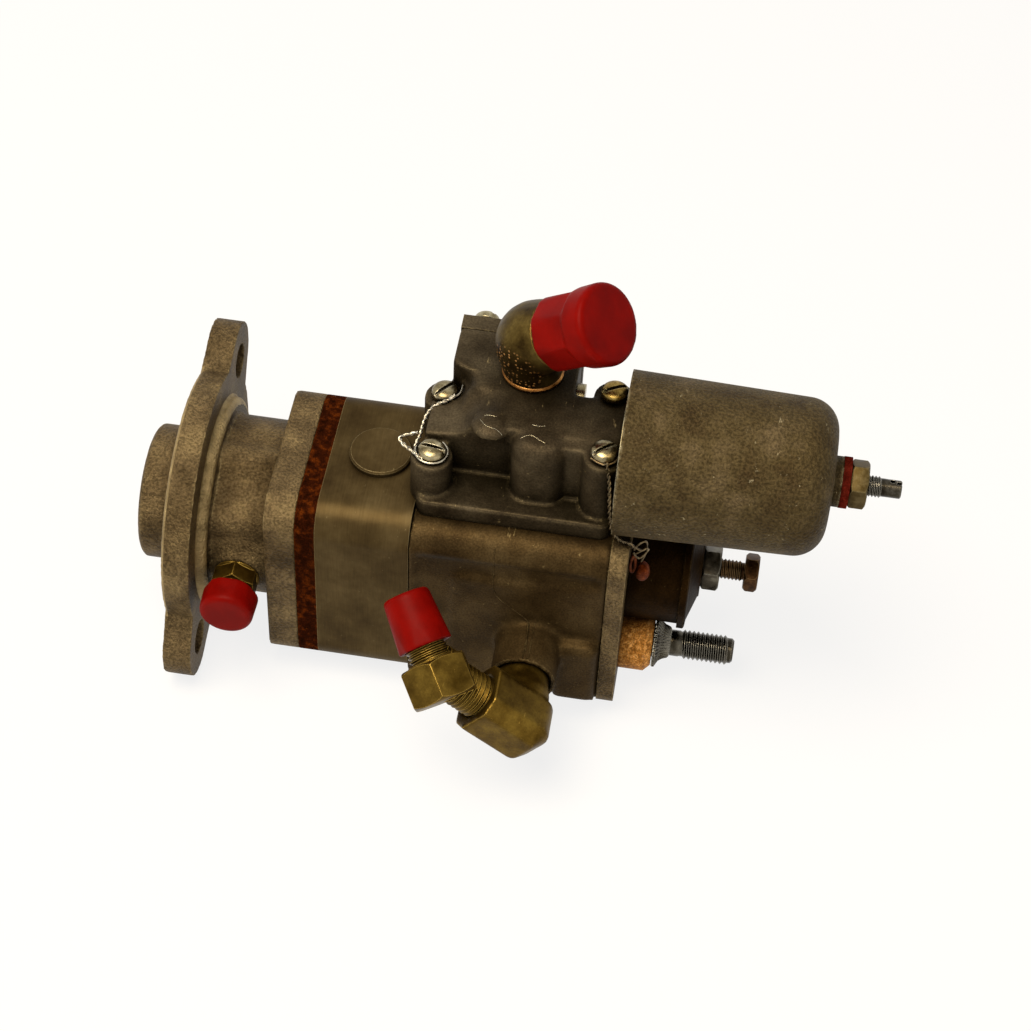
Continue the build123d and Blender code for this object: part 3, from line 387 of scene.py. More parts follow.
finishes = {
    "flangeCasting": castAlloy("flangeCasting", {  # sandy inlet casting, its glints say sand mould
        "dark": "#463a27", "mid": "#5f5038", "light": "#786748", "stain": "#392c16", "sootAndShade": "#120c04",
        "rubbed": "#a8966c",
        "blotchMm": 9, "grainMm": 0.6, "speck": 0.34, "bump": 1.0, "sandMm": 0.6, "rough": 0.40,
        "metallic": 0.5, "wear": 0.8,
        "turned": ((6.65, 8.9, 26.0), (0.0, 0.7, 31.4)), "bright": "#a8946a"}),
    "blockCasting": castAlloy("blockCasting", {  # grey-brown block, its hollows darkened with soot and painted shade
        "dark": "#2d261c", "mid": "#40382b", "light": "#544b3b", "stain": "#221910", "sootAndShade": "#0b0802",
        "rubbed": "#94845f",
        "blotchMm": 11, "grainMm": 0.45, "speck": 0.22, "bump": 0.4, "rough": 0.42, "metallic": 0.4,
        "wear": 0.7, "dirtMm": 15, "dirtAndShade": 1.0, "rubs": 0.6}),
    "bodyCasting": castAlloy("bodyCasting", {  # dark oiled control body
        "dark": "#2e2314", "mid": "#3f321e", "light": "#4f412a", "stain": "#23180a", "sootAndShade": "#0a0602",
        "rubbed": "#8a7852",
        "blotchMm": 12, "grainMm": 0.45, "speck": 0.22, "bump": 0.35, "rough": 0.44, "metallic": 0.4,
        "wear": 0.6}),
    "rearCasting": castAlloy("rearCasting", {  # nearly black rear housing behind the end plate
        "dark": "#130a03", "mid": "#1d1206", "light": "#291b0b", "stain": "#0f0802", "sootAndShade": "#080502",
        "rubbed": "#6c5b3c",
        "blotchMm": 9, "grainMm": 0.45, "speck": 0.2, "bump": 0.4, "rough": 0.46, "metallic": 0.4,
        "wear": 0.5}),
    "canCasting": castAlloy("canCasting", {  # even pebbled skin of the spring can
        "dark": "#3b301f", "mid": "#4b402a", "light": "#5c4f39", "stain": "#352a14", "sootAndShade": "#150e05",
        "rubbed": "#c2b694",
        "blotchMm": 10, "grainMm": 0.6, "speck": 0.34, "edgeMm": 0.9, "bump": 1.0, "sandMm": 0.5,
        "rough": 0.44, "metallic": 0.45, "wear": 0.8, "rubs": 0.7}),
    "rustySteel": castAlloy("rustySteel", {  # the red-brown rusted band between two castings
        "dark": "#1b0902", "mid": "#2f1206", "light": "#5c2a0a", "stain": "#1c0a03", "sootAndShade": "#0e0501",
        "rubbed": "#8a4a16",
        "blotchMm": 1.8, "grainMm": 0.3, "speck": 0.4, "bump": 0.9, "rough": 0.75, "metallic": 0.1,
        "wear": 0.4, "lump": 0.6, "lumpMm": 2}),
    "milledAlloy": cutMetal("milledAlloy", {  # smooth milled gear housing, the eye finds the fine tool lines
        "dark": "#352a19", "mid": "#463a24", "light": "#574a31", "sootAndShade": "#150e05", "rubbed": "#b09f76",
        "blotchMm": 14, "marksMm": 0.35, "stretch": (1, 0.06, 0.06), "marks": 0.12, "bump": 0.25,
        "rough": 0.36, "metallic": 0.35}),
    "zincSteel": cutMetal("zincSteel", {  # bright worn screw heads
        "dark": "#5c4f34", "mid": "#8a7d5c", "light": "#b3a888", "sootAndShade": "#1a1309", "rubbed": "#e0d8bc",
        "blotchMm": 2.5, "marksMm": 0.25, "stretch": (1, 1, 1), "marks": 0.12, "bump": 0.3, "rough": 0.26,
        "metallic": 1.0}),
    "brassyScrew": cutMetal("brassyScrew", {  # one screw head that is brassier than the others
        "dark": "#4f3a17", "mid": "#7d6531", "light": "#a98f50", "sootAndShade": "#1a1106", "rubbed": "#dccb8c",
        "blotchMm": 2, "marksMm": 0.25, "stretch": (1, 1, 1), "marks": 0.14, "bump": 0.3, "rough": 0.25,
        "metallic": 1.0}),
    "darkSteel": cutMetal("darkSteel", {  # polished dark spindle and gears
        "dark": "#221d15", "mid": "#39342a", "light": "#58534a", "sootAndShade": "#0a0704", "rubbed": "#aaa596",
        "blotchMm": 3, "marksMm": 0.25, "stretch": (1, 1, 1), "marks": 0.14, "bump": 0.25, "rough": 0.25,
        "metallic": 1.0}),
    "lockWire": cutMetal("lockWire", {  # bright twisted wire at the left
        "dark": "#6c5c44", "mid": "#a1977f", "light": "#cfcab9", "sootAndShade": "#2a2014", "rubbed": "#eee8d8",
        "blotchMm": 1.4, "marksMm": 0.4, "stretch": (1, 1, 1), "marks": 0.1, "bump": 0.1, "rough": 0.22,
        "metallic": 1.0, "dirtAndShade": 0.4}),
    "oldWire": cutMetal("oldWire", {  # tarnished wire at the right
        "dark": "#33261a", "mid": "#5a4830", "light": "#8a7656", "sootAndShade": "#140d06", "rubbed": "#b8a884",
        "blotchMm": 1.8, "marksMm": 0.4, "stretch": (1, 1, 1), "marks": 0.1, "bump": 0.1, "rough": 0.3,
        "metallic": 1.0, "dirtAndShade": 0.6}),
    "copperSeal": castAlloy("copperSeal", {  # dull red-brown crimp and seal
        "dark": "#411705", "mid": "#5a260d", "light": "#773d1f", "stain": "#321407", "sootAndShade": "#1c0a02",
        "rubbed": "#936446",
        "blotchMm": 1.5, "grainMm": 0.3, "speck": 0.25, "bump": 0.5, "rough": 0.45, "metallic": 0.7}),
    "forgedBrass": cutMetal("forgedBrass", {  # olive gold fittings with bright corners
        "dark": "#3f2e0c", "mid": "#574318", "light": "#6e5823", "sootAndShade": "#1a1003", "rubbed": "#c4a04c",
        "blotchMm": 6, "marksMm": 0.5, "stretch": (1, 1, 1), "marks": 0.14, "bump": 0.4, "rough": 0.38,
        "metallic": 0.85, "wear": 0.8, "scratched": 0.6}),
    "punchedBrass": punchedBrass("punchedBrass", {  # dark ball elbow with rows of punch marks, their shine a painted highlight
        "dark": "#2c200c", "mid": "#4a3b1b", "light": "#62522a", "sootAndShade": "#140c03", "rubbed": "#b98f45",
        "blotchMm": 5, "marksMm": 0.5, "stretch": (1, 1, 0.3), "marks": 0.16, "bump": 0.45, "rough": 0.4,
        "metallic": 0.8,
        "dotMm": 1.0, "dotsAt": (74.8, 5.2, 52.0), "dotsR": 7.4, "dotHighlightColour": "#c8945a"}),
    "copperRing": cutMetal("copperRing", {  # thin copper line under the elbow
        "dark": "#5a3212", "mid": "#8a5a2a", "light": "#b98448", "sootAndShade": "#1d0f03", "rubbed": "#e0b070",
        "blotchMm": 1.6, "marksMm": 0.3, "stretch": (1, 1, 1), "marks": 0.15, "bump": 0.3, "rough": 0.3,
        "metallic": 0.95}),
    "yellowNut": cutMetal("yellowNut", {  # dull yellow lock nut
        "dark": "#332812", "mid": "#483c22", "light": "#5e5237", "sootAndShade": "#1a1106", "rubbed": "#988d69",
        "blotchMm": 2.2, "marksMm": 0.3, "stretch": (1, 1, 1), "marks": 0.12, "bump": 0.3, "rough": 0.38,
        "metallic": 0.6}),
    "greyNut": cutMetal("greyNut", {  # grey nut on the stop screw
        "dark": "#2f2a20", "mid": "#4b453a", "light": "#6a6558", "sootAndShade": "#120d07", "rubbed": "#b5b0a0",
        "blotchMm": 2.6, "marksMm": 0.3, "stretch": (1, 1, 1), "marks": 0.1, "bump": 0.25, "rough": 0.34,
        "metallic": 0.9}),
    "brownSteel": cutMetal("brownSteel", {  # brown bolt of the rear stop
        "dark": "#24150a", "mid": "#3d2816", "light": "#5c4026", "sootAndShade": "#0e0703", "rubbed": "#a08258",
        "blotchMm": 2, "marksMm": 0.3, "stretch": (1, 1, 1), "marks": 0.12, "bump": 0.3, "rough": 0.38,
        "metallic": 0.8}),
    "porousBronze": castAlloy("porousBronze", {  # tan sintered bush, coarse and dry
        "dark": "#835220", "mid": "#b27938", "light": "#e2a960", "stain": "#714820", "sootAndShade": "#2b1606",
        "rubbed": "#e0b482",
        "blotchMm": 1.2, "grainMm": 0.4, "speck": 0.45, "bump": 0.9, "rough": 0.5, "metallic": 0.5,
        "wear": 0.4, "oil": 0.3}),
    "redFibre": castAlloy("redFibre", {  # dark red fibre washer
        "dark": "#3f0f0a", "mid": "#5a1a12", "light": "#742a1e", "stain": "#350d08", "sootAndShade": "#1a0503",
        "rubbed": "#8f4433",
        "blotchMm": 2, "grainMm": 0.3, "speck": 0.3, "bump": 0.4, "rough": 0.7, "metallic": 0.0,
        "wear": 0.3}),
    "sealRubber": castAlloy("sealRubber", {  # matt black lip seal
        "dark": "#121110", "mid": "#1b1a18", "light": "#262421", "stain": "#0f0e0d", "sootAndShade": "#080706",
        "rubbed": "#33302b",
        "blotchMm": 3, "grainMm": 0.3, "speck": 0.15, "bump": 0.2, "rough": 0.6, "metallic": 0.0,
        "wear": 0.3}),
    "redCap": mouldedPolyethylene("redCap"),
}

finishOfNode = {
    "flangeCasting": ("inlet_housing", "end_plate"),
    "bodyCasting": ("control_body",),
    "rearCasting": ("rear_housing",),
    "blockCasting": ("governor_block", "block_lid"),
    "canCasting": ("spring_can",),
    "rustySteel": ("side_plate",),
    "milledAlloy": ("gear_housing", "relief_plug"),
    "zincSteel": ("block_screws", "lid_screws", "side_plug", "can_piston", "relief_valve", "seal_ring"),
    "darkSteel": ("throttle_shaft", "metering_rotor", "adjusting_screw", "spring_seat", "governor_spring",
                  "relief_spring", "drive_shaft", "drive_gear", "driven_gear"),
    "brownSteel": ("stop_screw",),
    "greyNut": ("stop_nut",),
    "forgedBrass": ("port_elbow", "port_adapter", "drain_fitting"),
    "punchedBrass": ("top_elbow",),
    "yellowNut": ("can_nut",),
    "porousBronze": ("throttle_bush", "drive_bushes", "idler_bushes"),
    "redFibre": ("can_washer",),
    "sealRubber": ("shaft_seal",),
    "redCap": ("top_cap", "port_cap", "drain_cap"),
}
for finish, members in finishOfNode.items():
    for member in members:
        slots = nodes[member].data.materials
        slots.clear()
        slots.append(finishes[finish])
print("stage: finishes are on the CAD pieces")


def pick(piece=None):
    if bpy.context.mode != "OBJECT":
        bpy.ops.object.mode_set(mode="OBJECT")
    bpy.ops.object.select_all(action="DESELECT")
    if piece:
        piece.select_set(True)
        bpy.context.view_layer.objects.active = piece


def editAll(piece):
    pick(piece)
    bpy.ops.object.mode_set(mode="EDIT")
    bpy.ops.mesh.select_all(action="SELECT")


def lathe(steps, sides=48):  # a disc extruded and resized step by step, heights and radii in mm
    pick()
    bpy.ops.mesh.primitive_circle_add(vertices=sides, radius=steps[0][1] * 0.001, fill_type="NGON")
    piece = bpy.context.object
    editAll(piece)
    bpy.ops.transform.translate(value=(0, 0, steps[0][0] * 0.001))
    for (height, radius), (nextHeight, nextRadius) in zip(steps, steps[1:]):
        bpy.ops.mesh.extrude_region_move(TRANSFORM_OT_translate={"value": (0, 0,
                                                                           (nextHeight - height) * 0.001)})
        grow = nextRadius / radius
        bpy.ops.transform.resize(value=(grow, grow, 1), center_override=(0, 0, nextHeight * 0.001))
    bpy.ops.mesh.select_all(action="SELECT")
    bpy.ops.mesh.normals_make_consistent(inside=False)
    pick()
    return piece


def bar(sizes, place, turn=0.0):  # a cutter for slots and cross holes, in mm
    pick()
    bpy.ops.mesh.primitive_cube_add(size=1, location=metres(place), rotation=(0, 0, math.radians(turn)))
    cutter = bpy.context.object
    cutter.scale = metres(sizes)
    bpy.ops.object.transform_apply(location=True, rotation=True, scale=True)
    return cutter


def applied(piece, modifier):
    pick(piece)
    bpy.ops.object.modifier_apply(modifier=modifier.name)


def carve(piece, cutter, how="DIFFERENCE"):
    cut = piece.modifiers.new("cut", "BOOLEAN")
    cut.operation, cut.object, cut.solver = how, cutter, "EXACT"
    applied(piece, cut)
    bpy.data.objects.remove(cutter)
    return piece


def soften(piece, widthMm, segments=2):
    rounding = piece.modifiers.new("rounding", "BEVEL")
    rounding.width, rounding.segments, rounding.limit_method = widthMm / 1000, segments, "ANGLE"
    rounding.angle_limit = math.radians(35)
    rounding.use_clamp_overlap = True
    applied(piece, rounding)
    return piece


def join(pieces):
    pick(pieces[0])
    for piece in pieces[1:]:
        piece.select_set(True)
    bpy.ops.object.join()
    return pieces[0]


def stand(piece, place, direction, turn=0.0):  # local Z goes along the direction, turned about it
    lean = Vector(direction).normalized().to_track_quat("Z", "Y").to_matrix().to_4x4()
    piece.matrix_world = Matrix.Translation(metres(place)) @ lean @ Matrix.Rotation(math.radians(turn), 4,
                                                                                    "Z")
    pick(piece)
    bpy.ops.object.transform_apply(location=True, rotation=True, scale=True)
    return piece


def settle(piece, name, finish, body="pump_body", standsFor=None, smooth=32):
    editAll(piece)
    bpy.ops.mesh.remove_doubles(threshold=2e-6)
    bpy.ops.mesh.normals_make_consistent(inside=False)
    pick(piece)
    bpy.ops.object.shade_smooth_by_angle(angle=math.radians(smooth))
    piece.name = piece.data.name = name
    piece.data.materials.clear()
    piece.data.materials.append(finishes[finish])
    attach(piece, body)
    if standsFor:
        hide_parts(standsFor)
    return piece


def windThread(core, crest, pitch, start, turns, steps=28):  # a ridge wound on a core, sizes in mm
    pick()
    bpy.ops.mesh.primitive_circle_add(vertices=4, radius=0.001, fill_type="NOTHING",
                                      rotation=(math.pi / 2, 0, 0))
    ridge = bpy.context.object
    bpy.ops.object.transform_apply(location=True, rotation=True, scale=True)
    editAll(ridge)
    bpy.ops.transform.resize(value=(crest - core, 1, 0.49 * pitch), center_override=(0, 0, 0))
    bpy.ops.transform.translate(value=(core * 0.001, 0, start * 0.001))
    winding = ridge.modifiers.new("winding", "SCREW")
    winding.axis, winding.angle, winding.screw_offset = "Z", 2 * math.pi, pitch * 0.001
    winding.iterations, winding.steps, winding.render_steps = turns, steps, steps
    applied(ridge, winding)
    editAll(ridge)
    bpy.ops.mesh.fill_holes(sides=4)
    bpy.ops.mesh.normals_make_consistent(inside=False)
    pick()
    return ridge


def hexBlock(acrossFlats, bottom, height, chamfer, ends=(True, True)):  # a prism met by a turned barrel, in mm
    corner = acrossFlats / math.sqrt(3)
    pick()
    bpy.ops.mesh.primitive_cylinder_add(vertices=6, radius=corner * 0.001, depth=height * 0.001,
                                        location=(0, 0, (bottom + height / 2) * 0.001))
    block = bpy.context.object
    bpy.ops.object.transform_apply(location=True, rotation=True, scale=True)
    low = acrossFlats / 2 - 0.1 if ends[0] else corner + 0.3
    high = acrossFlats / 2 - 0.1 if ends[1] else corner + 0.3
    barrel = lathe([(bottom - 0.02, low), (bottom + chamfer * 0.45, (low + corner) / 2 + 0.18),
                    (bottom + chamfer, corner + 0.3),
                    (bottom + height - chamfer, corner + 0.3),
                    (bottom + height - chamfer * 0.45, (high + corner) / 2 + 0.18),
                    (bottom + height + 0.02, high)], 64)
    return carve(block, barrel, "INTERSECT")


# copies of castings, street elbow and caps are merged, given extra forms, and softened where moulded
castSet = {
    "governor_block": {"name": "governor_block_casting", "finish": "blockCasting", "slot": "dark_cast",
                       "voxel": 0.42, "rounds": 16,
                       "soft": ((50, -30, 30.6), (110, 21.0, 60)),
                       "softer": ((61.0, -5.5, 39.2), (80, 9, 47.6)), "moreRounds": 70},
    "control_body": {"name": "control_body_casting", "finish": "bodyCasting", "slot": "dark_cast",
                     "voxel": 0.5, "rounds": 18,
                     "soft": ((57.2, -34.9, -27.4), (100.2, -20, 24.0))},
    "inlet_housing": {"name": "inlet_casting", "finish": "flangeCasting", "slot": "inlet_casting",
                      "voxel": 0.5, "rounds": 22,
                      "soft": ((9.6, -40, -40), (22.8, 40, 40))},
    "port_elbow": {"name": "street_elbow_forging", "finish": "forgedBrass", "slot": "brass", "voxel": 0.4,
                   "rounds": 9,
                   "soft": ((0, -90, -90), (190, 90, 90)),
                   "barrel": ((-34.1, 6.1), (-36.4, 6.2), (-39.5, 6.9), (-46.5, 7.0)),
                   "axis": (84.6, -7.0)},
    "top_cap": {"name": "top_closure_cap", "finish": "redCap", "slot": "red_cap", "body": "big_cap",
                "voxel": 0.32, "rounds": 9,
                "soft": ((0, -90, -90), (190, 90, 90))},
    "port_cap": {"name": "front_closure_cap", "finish": "redCap", "slot": "red_cap", "body": "front_cap",
                 "voxel": 0.28, "rounds": 6,
                 "soft": ((0, -90, -90), (190, 90, 90))},
    "drain_cap": {"name": "neck_closure_cap", "finish": "redCap", "slot": "red_cap", "body": "neck_cap",
                  "voxel": 0.28, "rounds": 6,
                  "soft": ((0, -90, -90), (190, 90, 90))},
}
blockForms = {"moundAt": (71.4, -5.6, 45.2), "mound": ((-1, 5.0), (0.2, 4.4), (0.9, 3.2), (1.35, 1.8),
                                                       (1.45, 0.4)),
              "slopeAt": (70.5, 1.4, 41.6), "slope": (14, 7.5, 3.0), "slopeFacing": (-0.12, -0.5, 0.86),
              "scoopAt": (61.4, 5.0, 41.3), "scoopR": 4.6, "webAt": (90.2, -8.5, 37.9),
              "web": (3.8, 4.6, 15.0)}


def smoothWithin(piece, corners, rounds, name):  # evens out the skin inside a box, corners in mm
    low, high = metres(corners[0]), metres(corners[1])
    inside = [v.index for v in piece.data.vertices if all(low[i] < v.co[i] < high[i] for i in range(3))]
    piece.vertex_groups.new(name=name).add(inside, 1.0, "REPLACE")
    even = piece.modifiers.new(name, "SMOOTH")
    even.iterations, even.factor, even.vertex_group = rounds, 0.5, name
    applied(piece, even)


def castCopy(node, look, added=(), cutters=()):
    piece = bpy.data.objects.new(look["name"], nodes[node].data.copy())
    bpy.context.scene.collection.objects.link(piece)
    editAll(piece)
    bpy.ops.mesh.remove_doubles(threshold=2e-6)
    pick(piece)
    for cutter in cutters:
        carve(piece, cutter)
    piece = join([piece, *added])
    skin = piece.modifiers.new("skin", "REMESH")
    skin.mode, skin.voxel_size = "VOXEL", look["voxel"] / 1000
    applied(piece, skin)
    smoothWithin(piece, look["soft"], look["rounds"], "soft")
    if "softer" in look:
        smoothWithin(piece, look["softer"], look["moreRounds"], "softer")
    settle(piece, look["name"], look["finish"], look.get("body", "pump_body"), node, 40)
    return piece


def blockCopy():
    f = blockForms
    mound = stand(lathe(f["mound"], 32), f["moundAt"], (0, 0, 1))
    slope = stand(bar(f["slope"], (0, 0, 0)), f["slopeAt"], f["slopeFacing"])
    scoop = stand(lathe([(0, f["scoopR"]), (12, f["scoopR"])], 32), f["scoopAt"], (0, 0, 1))
    web = bar(f["web"], f["webAt"])
    return castCopy("governor_block", castSet["governor_block"], [mound, slope, web], [scoop])


def streetElbow():  # the forging runs as a round barrel into the recess of the port boss
    look = castSet["port_elbow"]
    x, z = look["axis"]
    barrel = stand(lathe([(-y, r) for y, r in look["barrel"]]), (x, 0, z), (0, -1, 0))
    return castCopy("port_elbow", look, [barrel])


castings = {"governor_block": blockCopy(), "port_elbow": streetElbow()}
for node in ("control_body", "inlet_housing", "top_cap", "port_cap", "drain_cap"):
    castings[node] = castCopy(node, castSet[node])
print("stage: castings are softened")

screwSet = {"headR": 3.1, "headH": 2.8, "shankR": 1.9, "slotWidth": 0.9, "slotDepth": 1.15,
            # place of each seat, direction, shank length, slot turn and finish
            "block": (((59.0, -11.0, 38.3), (0, 0, 1), 22.3, -8, "zincSteel"),
                      ((59.0, 7.1, 38.3), (0, 0, 1), 22.3, 50, "zincSteel"),
                      ((97.1, -11.0, 45.6), (0, 0, 1), 29.6, 40, "zincSteel"),
                      ((97.1, 7.1, 45.6), (0, 0, 1), 29.6, 28, "brassyScrew")),
            "lid": (((65.0, 27.2, 41.8), (0, 1, 0), 11.6, 120, "zincSteel"),
                    ((83.3, 27.2, 41.8), (0, 1, 0), 11.6, 120, "zincSteel"))}


def domedScrew(shank, turn):
    r, h = screwSet["headR"], screwSet["headH"]
    screw = lathe([(-shank, screwSet["shankR"]), (0, screwSet["shankR"]), (0, r - 0.15), (0.15, r),
                   (h * 0.52, r), (h * 0.68, r * 0.95),
                   (h * 0.83, r * 0.82), (h * 0.93, r * 0.6), (h * 0.985, r * 0.33), (h, 0.12)])
    carve(screw, bar((3 * r, screwSet["slotWidth"], screwSet["slotDepth"] * 2), (0, 0, h), turn))
    return soften(screw, 0.1)


for group, node in (("block", "block_screws"), ("lid", "lid_screws")):
    for number, (place, direction, shank, turn, finish) in enumerate(screwSet[group]):
        screw = stand(domedScrew(shank, turn), place, direction)
        settle(screw, "%s_screw_%d" % (group, number + 1), finish, standsFor=node)
print("stage: slotted screws are in")

spindleSet = {"inner": 87.1, "axis": (-10.5, -17.0), "shaftR": 4.0, "flareR": 6.3, "flareAt": 112.8,
              "grooveAt": 116.7,
              "grooveR": 3.1, "threadAt": 118.8, "end": 131.6, "threadR": 3.5, "rootR": 2.95, "pitch": 1.06,
              "teeth": 36}


def throttleSpindle():
    s = spindleSet
    x = s["inner"]
    # serrated flare: a toothed cone that narrows towards the thread
    shaft = lathe([(0, s["shaftR"]), (s["flareAt"] - x, s["shaftR"]), (s["flareAt"] - x, s["flareR"] - 0.2),
                   (s["flareAt"] - x + 0.25, s["flareR"]),
                   (s["flareAt"] - x + 0.7, s["flareR"]), (s["flareAt"] - x + 1.5, s["flareR"] - 1.5),
                   (s["flareAt"] - x + 2.4, 4.15),
                   (s["grooveAt"] - x - 0.4, 3.75), (s["grooveAt"] - x, 3.3),
                   (s["grooveAt"] - x, s["grooveR"]), (s["threadAt"] - x, s["grooveR"]),
                   (s["threadAt"] - x + 0.3, s["rootR"]), (s["end"] - x - 0.5, s["rootR"]),
                   (s["end"] - x, s["rootR"] - 0.5)], 2 * s["teeth"])
    editAll(shaft)
    bpy.ops.mesh.select_all(action="DESELECT")
    pick(shaft)
    low, high = (s["flareAt"] - x + 0.2) * 0.001, (s["grooveAt"] - x - 0.2) * 0.001
    for vertex in shaft.data.vertices:
        step = round(math.atan2(vertex.co.y, vertex.co.x) / (math.pi / s["teeth"]))
        vertex.select = low < vertex.co.z < high and step % 2 == 0
    bpy.ops.object.mode_set(mode="EDIT")
    bpy.ops.transform.resize(value=(0.93, 0.93, 1), center_override=(0, 0, 0))
    pick()
    turns = int((s["end"] - s["threadAt"] - 1.2) / s["pitch"])
    thread = windThread(s["rootR"], s["threadR"], s["pitch"], s["threadAt"] - x + 0.9, turns)
    return stand(join([shaft, thread]), (x, *s["axis"]), (1, 0, 0))


settle(throttleSpindle(), "throttle_spindle", "darkSteel", "throttle", "throttle_shaft")

canScrewSet = {"start": 135.4, "axis": (-7.7, 43.9), "rootR": 2.02, "crestR": 2.4, "pitch": 0.72,
               "threadEnd": 158.1, "end": 161.9, "tipR": 2.0,
               "slotWidth": 0.8, "slotDepth": 1.2, "holeR": 0.6, "nutAt": 150.6, "nutAf": 9.53, "nutT": 3.9}


def canScrew():
    s = canScrewSet
    x = s["start"]
    length, threadEnd = s["end"] - x, s["threadEnd"] - x
    screw = lathe([(0, s["rootR"]), (threadEnd, s["rootR"]), (threadEnd + 0.5, s["tipR"]),
                   (length - 0.25, s["tipR"]), (length, s["tipR"] - 0.25)], 40)
    carve(screw, bar((9, s["slotWidth"], 2 * s["slotDepth"]), (0, 0, length), 90))
    hole = stand(lathe([(-5, s["holeR"]), (5, s["holeR"])], 20), (0, 0, length - 2.1), (0.25, 0.97, 0))
    carve(screw, hole)
    thread = windThread(s["rootR"], s["crestR"], s["pitch"], 0.5, int((threadEnd - 0.8) / s["pitch"]), 20)
    return stand(join([screw, thread]), (x, *s["axis"]), (1, 0, 0))


def canNut():
    s = canScrewSet
    nut = hexBlock(s["nutAf"], 0, s["nutT"], 0.75)
    carve(nut, lathe([(-1, 2.45), (s["nutT"] + 1, 2.45)], 40))
    return stand(soften(nut, 0.12), (s["nutAt"], *s["axis"]), (1, 0, 0))


settle(canScrew(), "can_adjusting_screw", "darkSteel", "spring_adjuster", "adjusting_screw")
settle(canNut(), "can_lock_nut", "yellowNut", standsFor="can_nut")

stopSet = {"start": 101.6, "nutAt": 121.7, "nutAf": 9.53, "nutT": 4.2, "headAt": 131.5, "headAf": 7.94,
           "headT": 3.3,
           "rootR": 2.0, "crestR": 2.4, "pitch": 0.85}


def stopScrew():
    s = stopSet
    head = s["headAt"] - s["start"]
    screw = lathe([(0, s["rootR"]), (head + 0.3, s["rootR"])], 36)
    thread = windThread(s["rootR"], s["crestR"], s["pitch"], 0.5, int((head - 0.6) / s["pitch"]), 20)
    cap = soften(hexBlock(s["headAf"], head, s["headT"], 1.1), 0.25)
    return stand(join([screw, thread, cap]), (s["start"], 0, 0), (1, 0, 0))


def stopNut():
    s = stopSet
    nut = hexBlock(s["nutAf"], 0, s["nutT"], 0.8)
    carve(nut, lathe([(-1, 2.45), (s["nutT"] + 1, 2.45)], 40))
    return stand(soften(nut, 0.15), (s["nutAt"], 0, 0), (1, 0, 0))


settle(stopScrew(), "stop_screw_threaded", "brownSteel", "rear_stop", "stop_screw")
settle(stopNut(), "stop_lock_nut", "greyNut", standsFor="stop_nut")
print("stage: spindle, adjusting screw, stop screw and their nuts are in")

adapterSet = {"bend": (66.13, -46.5, 7.69), "portAxis": (84.6, -46.5, -7.0),
              "inward": (-0.78261, 0, 0.62251), "outward": (-0.50252, 0.70353, 0.50252),
              "hexAf": 14.3, "hexFrom": -7.5, "hexLength": 9.0, "hexTurn": -19.75, "threadR": 4.75,
              "threadRoot": 4.2, "threadTo": 12.2,
              "spoolR": 5.15, "spoolRoot": 4.55, "spoolFrom": 4.5, "collarFrom": 18.6, "collarR": 6.05,
              "reach": 23.6, "pitch": 1.0}


def portAdapter():
    s = adapterSet
    block = soften(hexBlock(s["hexAf"], s["hexFrom"], s["hexLength"], 1.0), 0.3)
    hexEnd = s["hexFrom"] + s["hexLength"]
    tube = lathe([(hexEnd - 2, s["threadRoot"]), (hexEnd + 0.2, s["threadRoot"]),
                  (s["threadTo"] - 0.5, s["threadRoot"]), (s["threadTo"], s["threadRoot"] - 0.4)])
    rings = windThread(s["threadRoot"], s["threadR"], s["pitch"], hexEnd + 0.4,
                       int((s["threadTo"] - hexEnd - 1) / s["pitch"]))
    shoulder = lathe([(hexEnd - 0.5, 5.6), (hexEnd + 0.35, 5.6), (hexEnd + 0.6, 5.2)])
    block = join([block, tube, rings, shoulder])
    stand(block, s["bend"], s["outward"], s["hexTurn"])
    spool = lathe([(s["spoolFrom"], s["spoolRoot"]), (s["collarFrom"] + 0.3, s["spoolRoot"]),
                   (s["collarFrom"] + 0.6, s["collarR"] - 0.3),
                   (s["collarFrom"] + 1.0, s["collarR"]), (s["reach"], s["collarR"])])
    spoolRings = windThread(s["spoolRoot"], s["spoolR"], s["pitch"] * 1.25, s["spoolFrom"] + 0.5,
                            int((s["collarFrom"] - s["spoolFrom"]) / (s["pitch"] * 1.25)))
    spool = stand(join([spool, spoolRings]), s["portAxis"], s["inward"])
    return join([block, spool])


settle(portAdapter(), "front_adapter", "forgedBrass", standsFor="port_adapter")

drainSet = {"seat": (15.5, -21.4, -1.0), "hexAf": 9.5, "hexT": 4.6, "stemR": 2.3, "stem": 6.0,
            "threadR": 4.75, "threadRoot": 4.2, "length": 9.6, "pitch": 0.95}


def drainFitting():
    s = drainSet
    block = soften(hexBlock(s["hexAf"], 0, s["hexT"], 0.7), 0.2)
    tube = lathe([(-s["stem"], s["stemR"]), (0.2, s["stemR"]), (0.2, s["threadRoot"] - 0.6),
                  (s["hexT"] + 0.2, s["threadRoot"]), (s["length"], s["threadRoot"])])
    foot = lathe([(-0.02, 5.2), (0.35, 5.3), (0.6, 4.9)])
    rings = windThread(s["threadRoot"], s["threadR"], s["pitch"], s["hexT"] + 0.55,
                       int((s["length"] - s["hexT"] - 1) / s["pitch"]))
    return stand(join([block, tube, foot, rings]), s["seat"], (0, -1, 0))


settle(drainFitting(), "drain_union", "forgedBrass", standsFor="drain_fitting")
print("stage: adapter and drain union are in")

